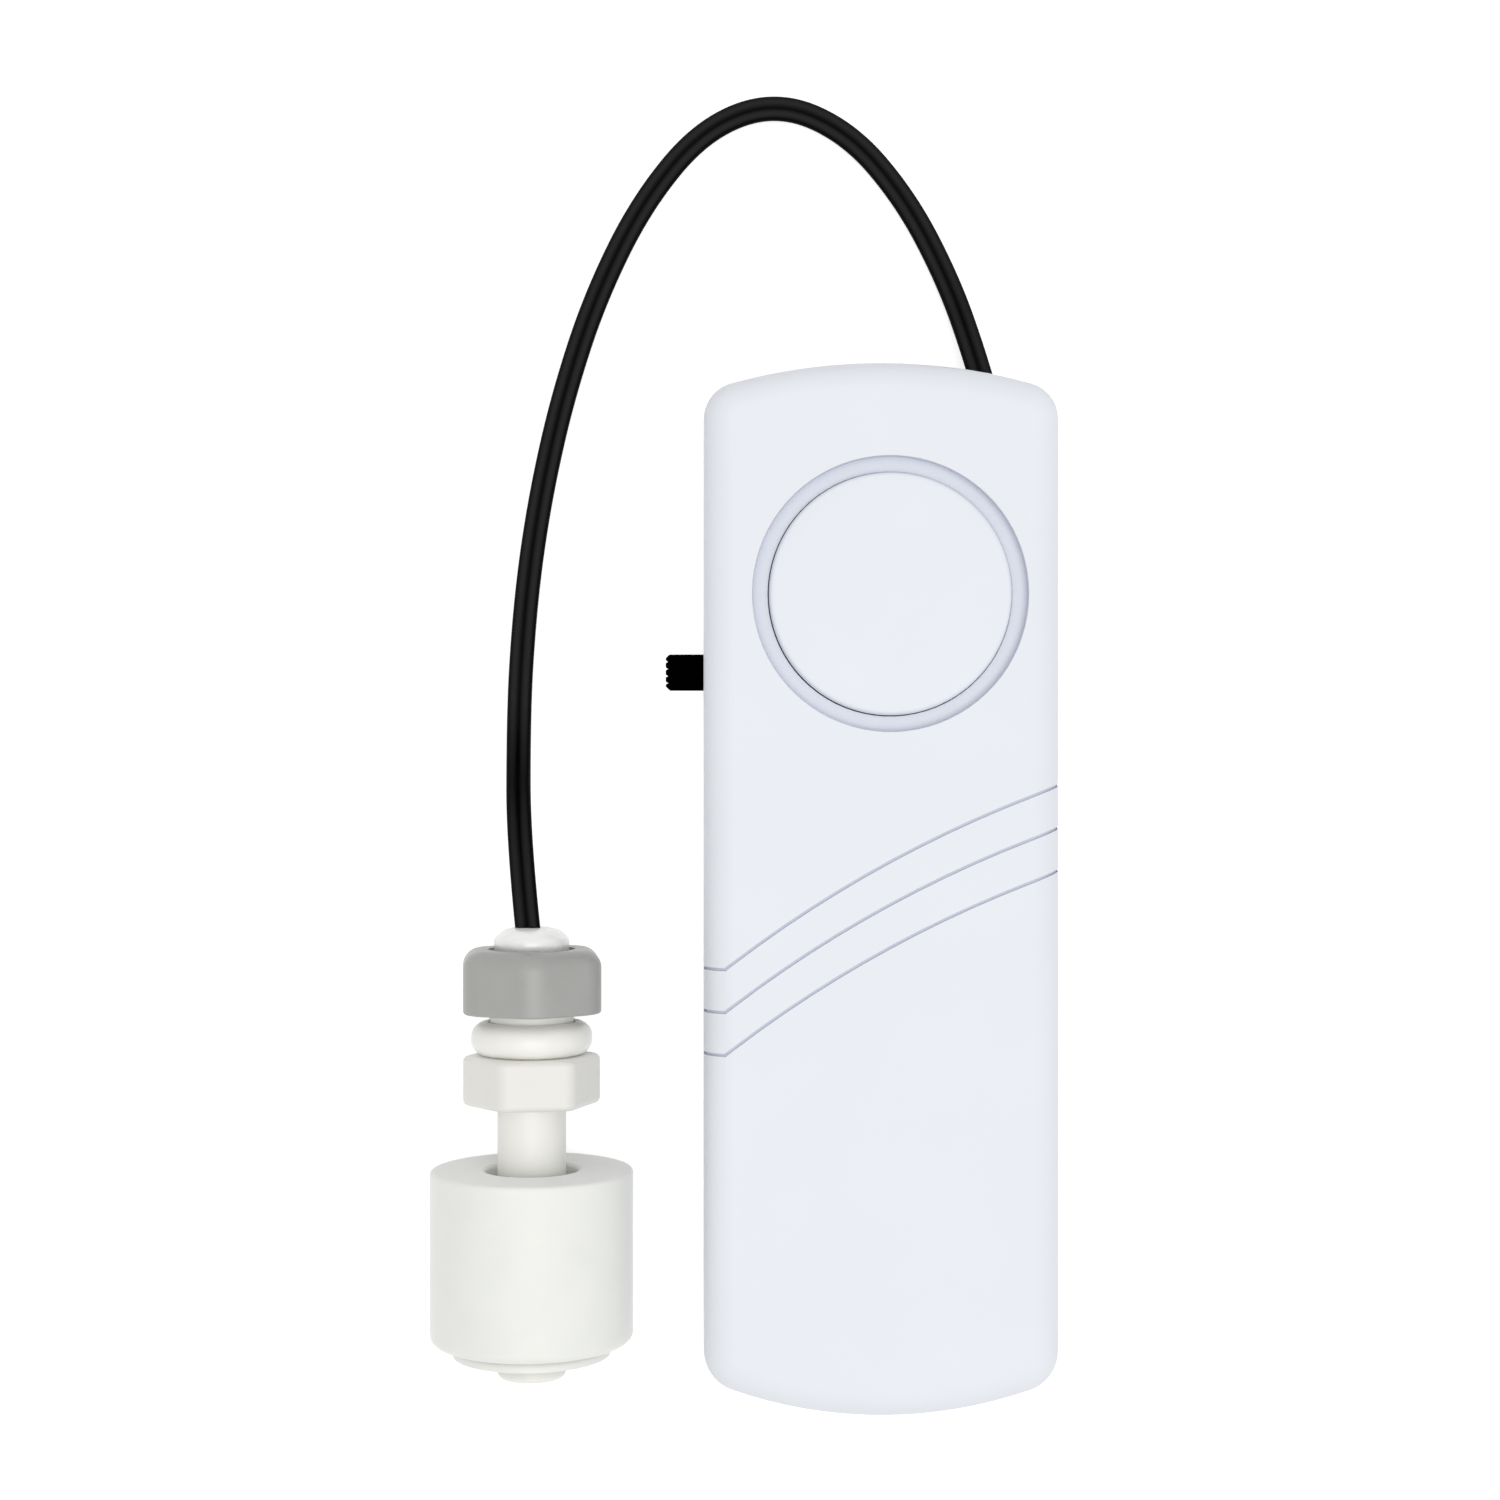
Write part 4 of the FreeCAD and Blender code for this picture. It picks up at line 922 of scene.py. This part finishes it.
class WATERALARM_OT_seal(WaterAlarmOperator):
    """Makes the silicone gasket and the resin plug"""

    bl_idname = "wateralarm.seal"
    bl_label = "Gasket and resin"

    def execute(self, context):
        probe = context.scene.water_alarm_probe
        silicone = moulded(
            "gasket_silicone", probe.gasket_colour, roughness=0.32, colour_shift=0.02,
            patch_size=0.004, sockets=soft_white(0.7, 0.0012, 0.5),
        )
        piece_from(
            soft_copy("probe_gasket", probe.gasket_edge), "ring_gasket", silicone, "alarm",
            "gasket_clear", "probe_gasket", flat_area=SMALL_FLAT,
        )
        resin = moulded(
            "plug_resin", probe.resin_colour, roughness=0.3, grain_size=0.0015,
            grain_depth=0.00012, colour_shift=0.02, patch_size=0.002,
            sockets={
                **soft_white(0.3, 0.0008, 0.9), "Specular IOR Level": 0.9, "Coat Weight": 0.6,
            },
        )
        piece_from(
            merged_copy("potting_plug"), "resin_dome", resin, "alarm", "potting_white",
            "potting_plug",
        )
        return {"FINISHED"}


class WATERALARM_OT_stem(WaterAlarmOperator):
    """Makes the stem with its flange and thread, and the clip at its end"""

    bl_idname = "wateralarm.stem"
    bl_label = "Stem and clip"

    def execute(self, context):
        probe = context.scene.water_alarm_probe
        looks = {
            "roughness": 0.45, "colour_shift": 0.015, "patch_size": 0.006,
            "sockets": soft_white(0.4, 0.0012, 0.6),
        }
        # Painted shadow: the stem's end and the clip are darker where the float and the clip shade
        # them
        end_painted_shadow = ((0.12, 0.12, 0.11), 0.003, 1.0)
        clip_painted_shadow = ((0.03, 0.03, 0.03), 0.0014, 1.0)
        plain = moulded("stem_plastic", probe.stem_colour, **looks)
        stem_end = moulded("stem_end_plastic", probe.stem_colour, painted_shade=end_painted_shadow, **looks)
        # Painted shade: the flange takes a darker copy of the stem's white
        flange = moulded("flange_shaded_plastic", probe.flange_shaded_colour, **looks)
        clip = moulded("clip_plastic", probe.stem_colour, painted_shade=clip_painted_shadow, **looks)
        stem = piece_from(
            soft_copy("probe_stem", probe.stem_edge, degrees=38.0), "threaded_stem", plain,
            "alarm", "probe_white", "probe_stem", flat_area=SMALL_FLAT,
        )
        stem.data.materials.append(stem_end)
        stem.data.materials.append(flange)
        for face in stem.data.polygons:
            face.material_index = self.part_of_stem(stem.data, face)
        piece_from(
            soft_copy("retaining_clip", probe.clip_edge), "snap_clip", clip, "alarm",
            "probe_white", "retaining_clip", flat_area=SMALL_FLAT,
        )
        return {"FINISHED"}

    def part_of_stem(self, data, face):
        """0 for the stem itself, 1 for its end in and beyond the clip, 2 for its flange"""
        if face.center.y < clip_high.y:
            return 1
        corners = [data.vertices[index].co - probe_axis for index in face.vertices]
        return 2 if max(corner.xz.length for corner in corners) > FLANGE_REACH else 0


class WATERALARM_OT_float(WaterAlarmOperator):
    """Makes the float, and dresses its welded cap and its magnet"""

    bl_idname = "wateralarm.float"
    bl_label = "Float"

    def execute(self, context):
        probe = context.scene.water_alarm_probe
        # The float gets painted shade in its creases by the stem and the clip
        material = moulded(
            "float_plastic", probe.float_colour, roughness=0.5, grain_size=0.0005,
            grain_depth=0.00001, colour_shift=0.015, patch_size=0.004,
            painted_shade=((0.6, 0.6, 0.56), 0.0006, 0.8), sockets=soft_white(0.4, 0.0008, 1.0),
        )
        piece_from(
            merged_copy("float_shell"), "float_body", material, "float", "float_white",
            "float_shell",
        )
        dress(material, "float_cap")
        ferrite = moulded(
            "magnet_ferrite", (0.03, 0.03, 0.032), roughness=0.7, colour_shift=0.2,
            patch_size=0.001,
        )
        dress(ferrite, "float_magnet")
        return {"FINISHED"}


class WATERALARM_OT_inside(WaterAlarmOperator):
    """Gives the pieces inside the alarm their materials"""

    bl_idname = "wateralarm.inside"
    bl_label = "Inside"

    def execute(self, context):
        self.dress_metals()
        self.dress_plastics()
        self.dress_glass()
        return {"FINISHED"}

    def dress_metals(self):
        even = (1.0, 1.0, 1.0)
        brass = metal("piezo_brass", (0.72, 0.52, 0.24), roughness=0.32)
        copper = metal(
            "coil_copper", (0.55, 0.2, 0.08), line_size=0.00012, stretch=(30.0, 30.0, 1.0),
            depth=0.00001,
        )
        tin = metal("switch_tin", (0.62, 0.63, 0.64), roughness=0.35)
        nickel = metal(
            "contact_nickel", (0.66, 0.64, 0.6), roughness=0.22, line_size=0.00006,
            stretch=(1.0, 1.0, 14.0),
        )
        steel = metal("cell_can", (0.66, 0.66, 0.65), roughness=0.24, stretch=even)
        zinc = metal(
            "screw_zinc", (0.5, 0.5, 0.5), roughness=0.34, line_size=0.00007, stretch=even
        )
        dress(brass, "piezo_plate")
        dress(copper, "boost_coil_winding")
        dress(tin, "switch_case", "switch_pins")
        dress(nickel, "contact_positive", "contact_negative", "switch_wiper", "reed_blades")
        dress(steel, "cell_1", "cell_2", "cell_3")
        dress(zinc, "case_screws")

    def dress_plastics(self):
        for name, tone, roughness, colour_shift, patch_size, nodes in (
            ("piezo_ceramic", (0.72, 0.72, 0.70), 0.5, 0.06, 0.002, ["piezo_ceramic"]),
            ("wire_insulation", (0.45, 0.03, 0.025), 0.45, 0.08, 0.002,
             ["piezo_wires", "battery_wires", "reed_wires"]),
            ("board_mask", (0.02, 0.16, 0.06), 0.35, 0.2, 0.003, ["circuit_board"]),
            ("coil_ferrite", (0.05, 0.05, 0.055), 0.6, 0.2, 0.001, ["boost_coil_core"]),
            ("capacitor_sleeve", (0.02, 0.025, 0.12), 0.25, 0.1, 0.012, ["capacitor"]),
            ("component_plastic", (0.02, 0.02, 0.02), 0.5, 0.2, 0.001,
             ["driver_transistor", "resistors"]),
            ("switch_board", (0.3, 0.17, 0.06), 0.6, 0.15, 0.001, ["switch_base"]),
            ("tail_insulation", (0.009, 0.009, 0.010), 0.42, 0.15, 0.012, ["cord_tail"]),
        ):
            material = moulded(
                name, tone, roughness=roughness, colour_shift=colour_shift, patch_size=patch_size
            )
            dress(material, *nodes)
        chip_resin = moulded(
            "chip_resin", (0.01, 0.01, 0.01), roughness=0.25, grain_size=0.001,
            grain_depth=0.00003, colour_shift=0.2, patch_size=0.002,
        )
        dress(chip_resin, "control_chip")

    def dress_glass(self):
        material, tree, shader = new_material("reed_glass")
        skin = place_group(tree, "moulded_skin", {
            "Colour": (0.80, 0.90, 0.86, 1), "Colour Shift": 0.02, "Patch Size": 0.002,
            "Roughness": 0.05, "Roughness Shift": 0.02,
        })
        fill(tree, shader, {
            "Base Color": skin["Colour"], "Roughness": skin["Roughness"],
            "Transmission Weight": 0.9,
        })
        dress(material, "reed_glass")


class WATERALARM_PT_panel(Panel):
    """Lists what the add-on makes, and its sizes and colours"""

    bl_idname = "WATERALARM_PT_panel"
    bl_label = "Water alarm"
    bl_space_type = "VIEW_3D"
    bl_region_type = "UI"
    bl_category = "Water alarm"

    def draw(self, context):
        for operator in OPERATORS:
            self.layout.operator(operator.bl_idname)
        for name, group in PROPERTY_GROUPS.items():
            box = self.layout.box()
            for label in group.__annotations__:
                box.prop(getattr(context.scene, name), label)


OPERATORS = [
    WATERALARM_OT_stage,
    WATERALARM_OT_cord,
    WATERALARM_OT_housing,
    WATERALARM_OT_sounder,
    WATERALARM_OT_knob,
    WATERALARM_OT_nut,
    WATERALARM_OT_seal,
    WATERALARM_OT_stem,
    WATERALARM_OT_float,
    WATERALARM_OT_inside,
]
PROPERTY_GROUPS = {
    "water_alarm_stage": WaterAlarmStage,
    "water_alarm_housing": WaterAlarmHousing,
    "water_alarm_cord": WaterAlarmCord,
    "water_alarm_probe": WaterAlarmProbe,
}


def register():
    for name, group in PROPERTY_GROUPS.items():
        bpy.utils.register_class(group)
        setattr(bpy.types.Scene, name, PointerProperty(type=group))
    for item in OPERATORS + [WATERALARM_PT_panel]:
        bpy.utils.register_class(item)


def unregister():
    for item in reversed(OPERATORS + [WATERALARM_PT_panel]):
        bpy.utils.unregister_class(item)
    for name, group in PROPERTY_GROUPS.items():
        delattr(bpy.types.Scene, name)
        bpy.utils.unregister_class(group)


def main():
    register()
    bpy.ops.wateralarm.stage()
    bpy.ops.wateralarm.cord()
    bpy.ops.wateralarm.housing()
    bpy.ops.wateralarm.sounder()
    bpy.ops.wateralarm.knob()
    bpy.ops.wateralarm.nut()
    bpy.ops.wateralarm.seal()
    bpy.ops.wateralarm.stem()
    bpy.ops.wateralarm.float()
    bpy.ops.wateralarm.inside()


if __name__ == "__main__":
    main()
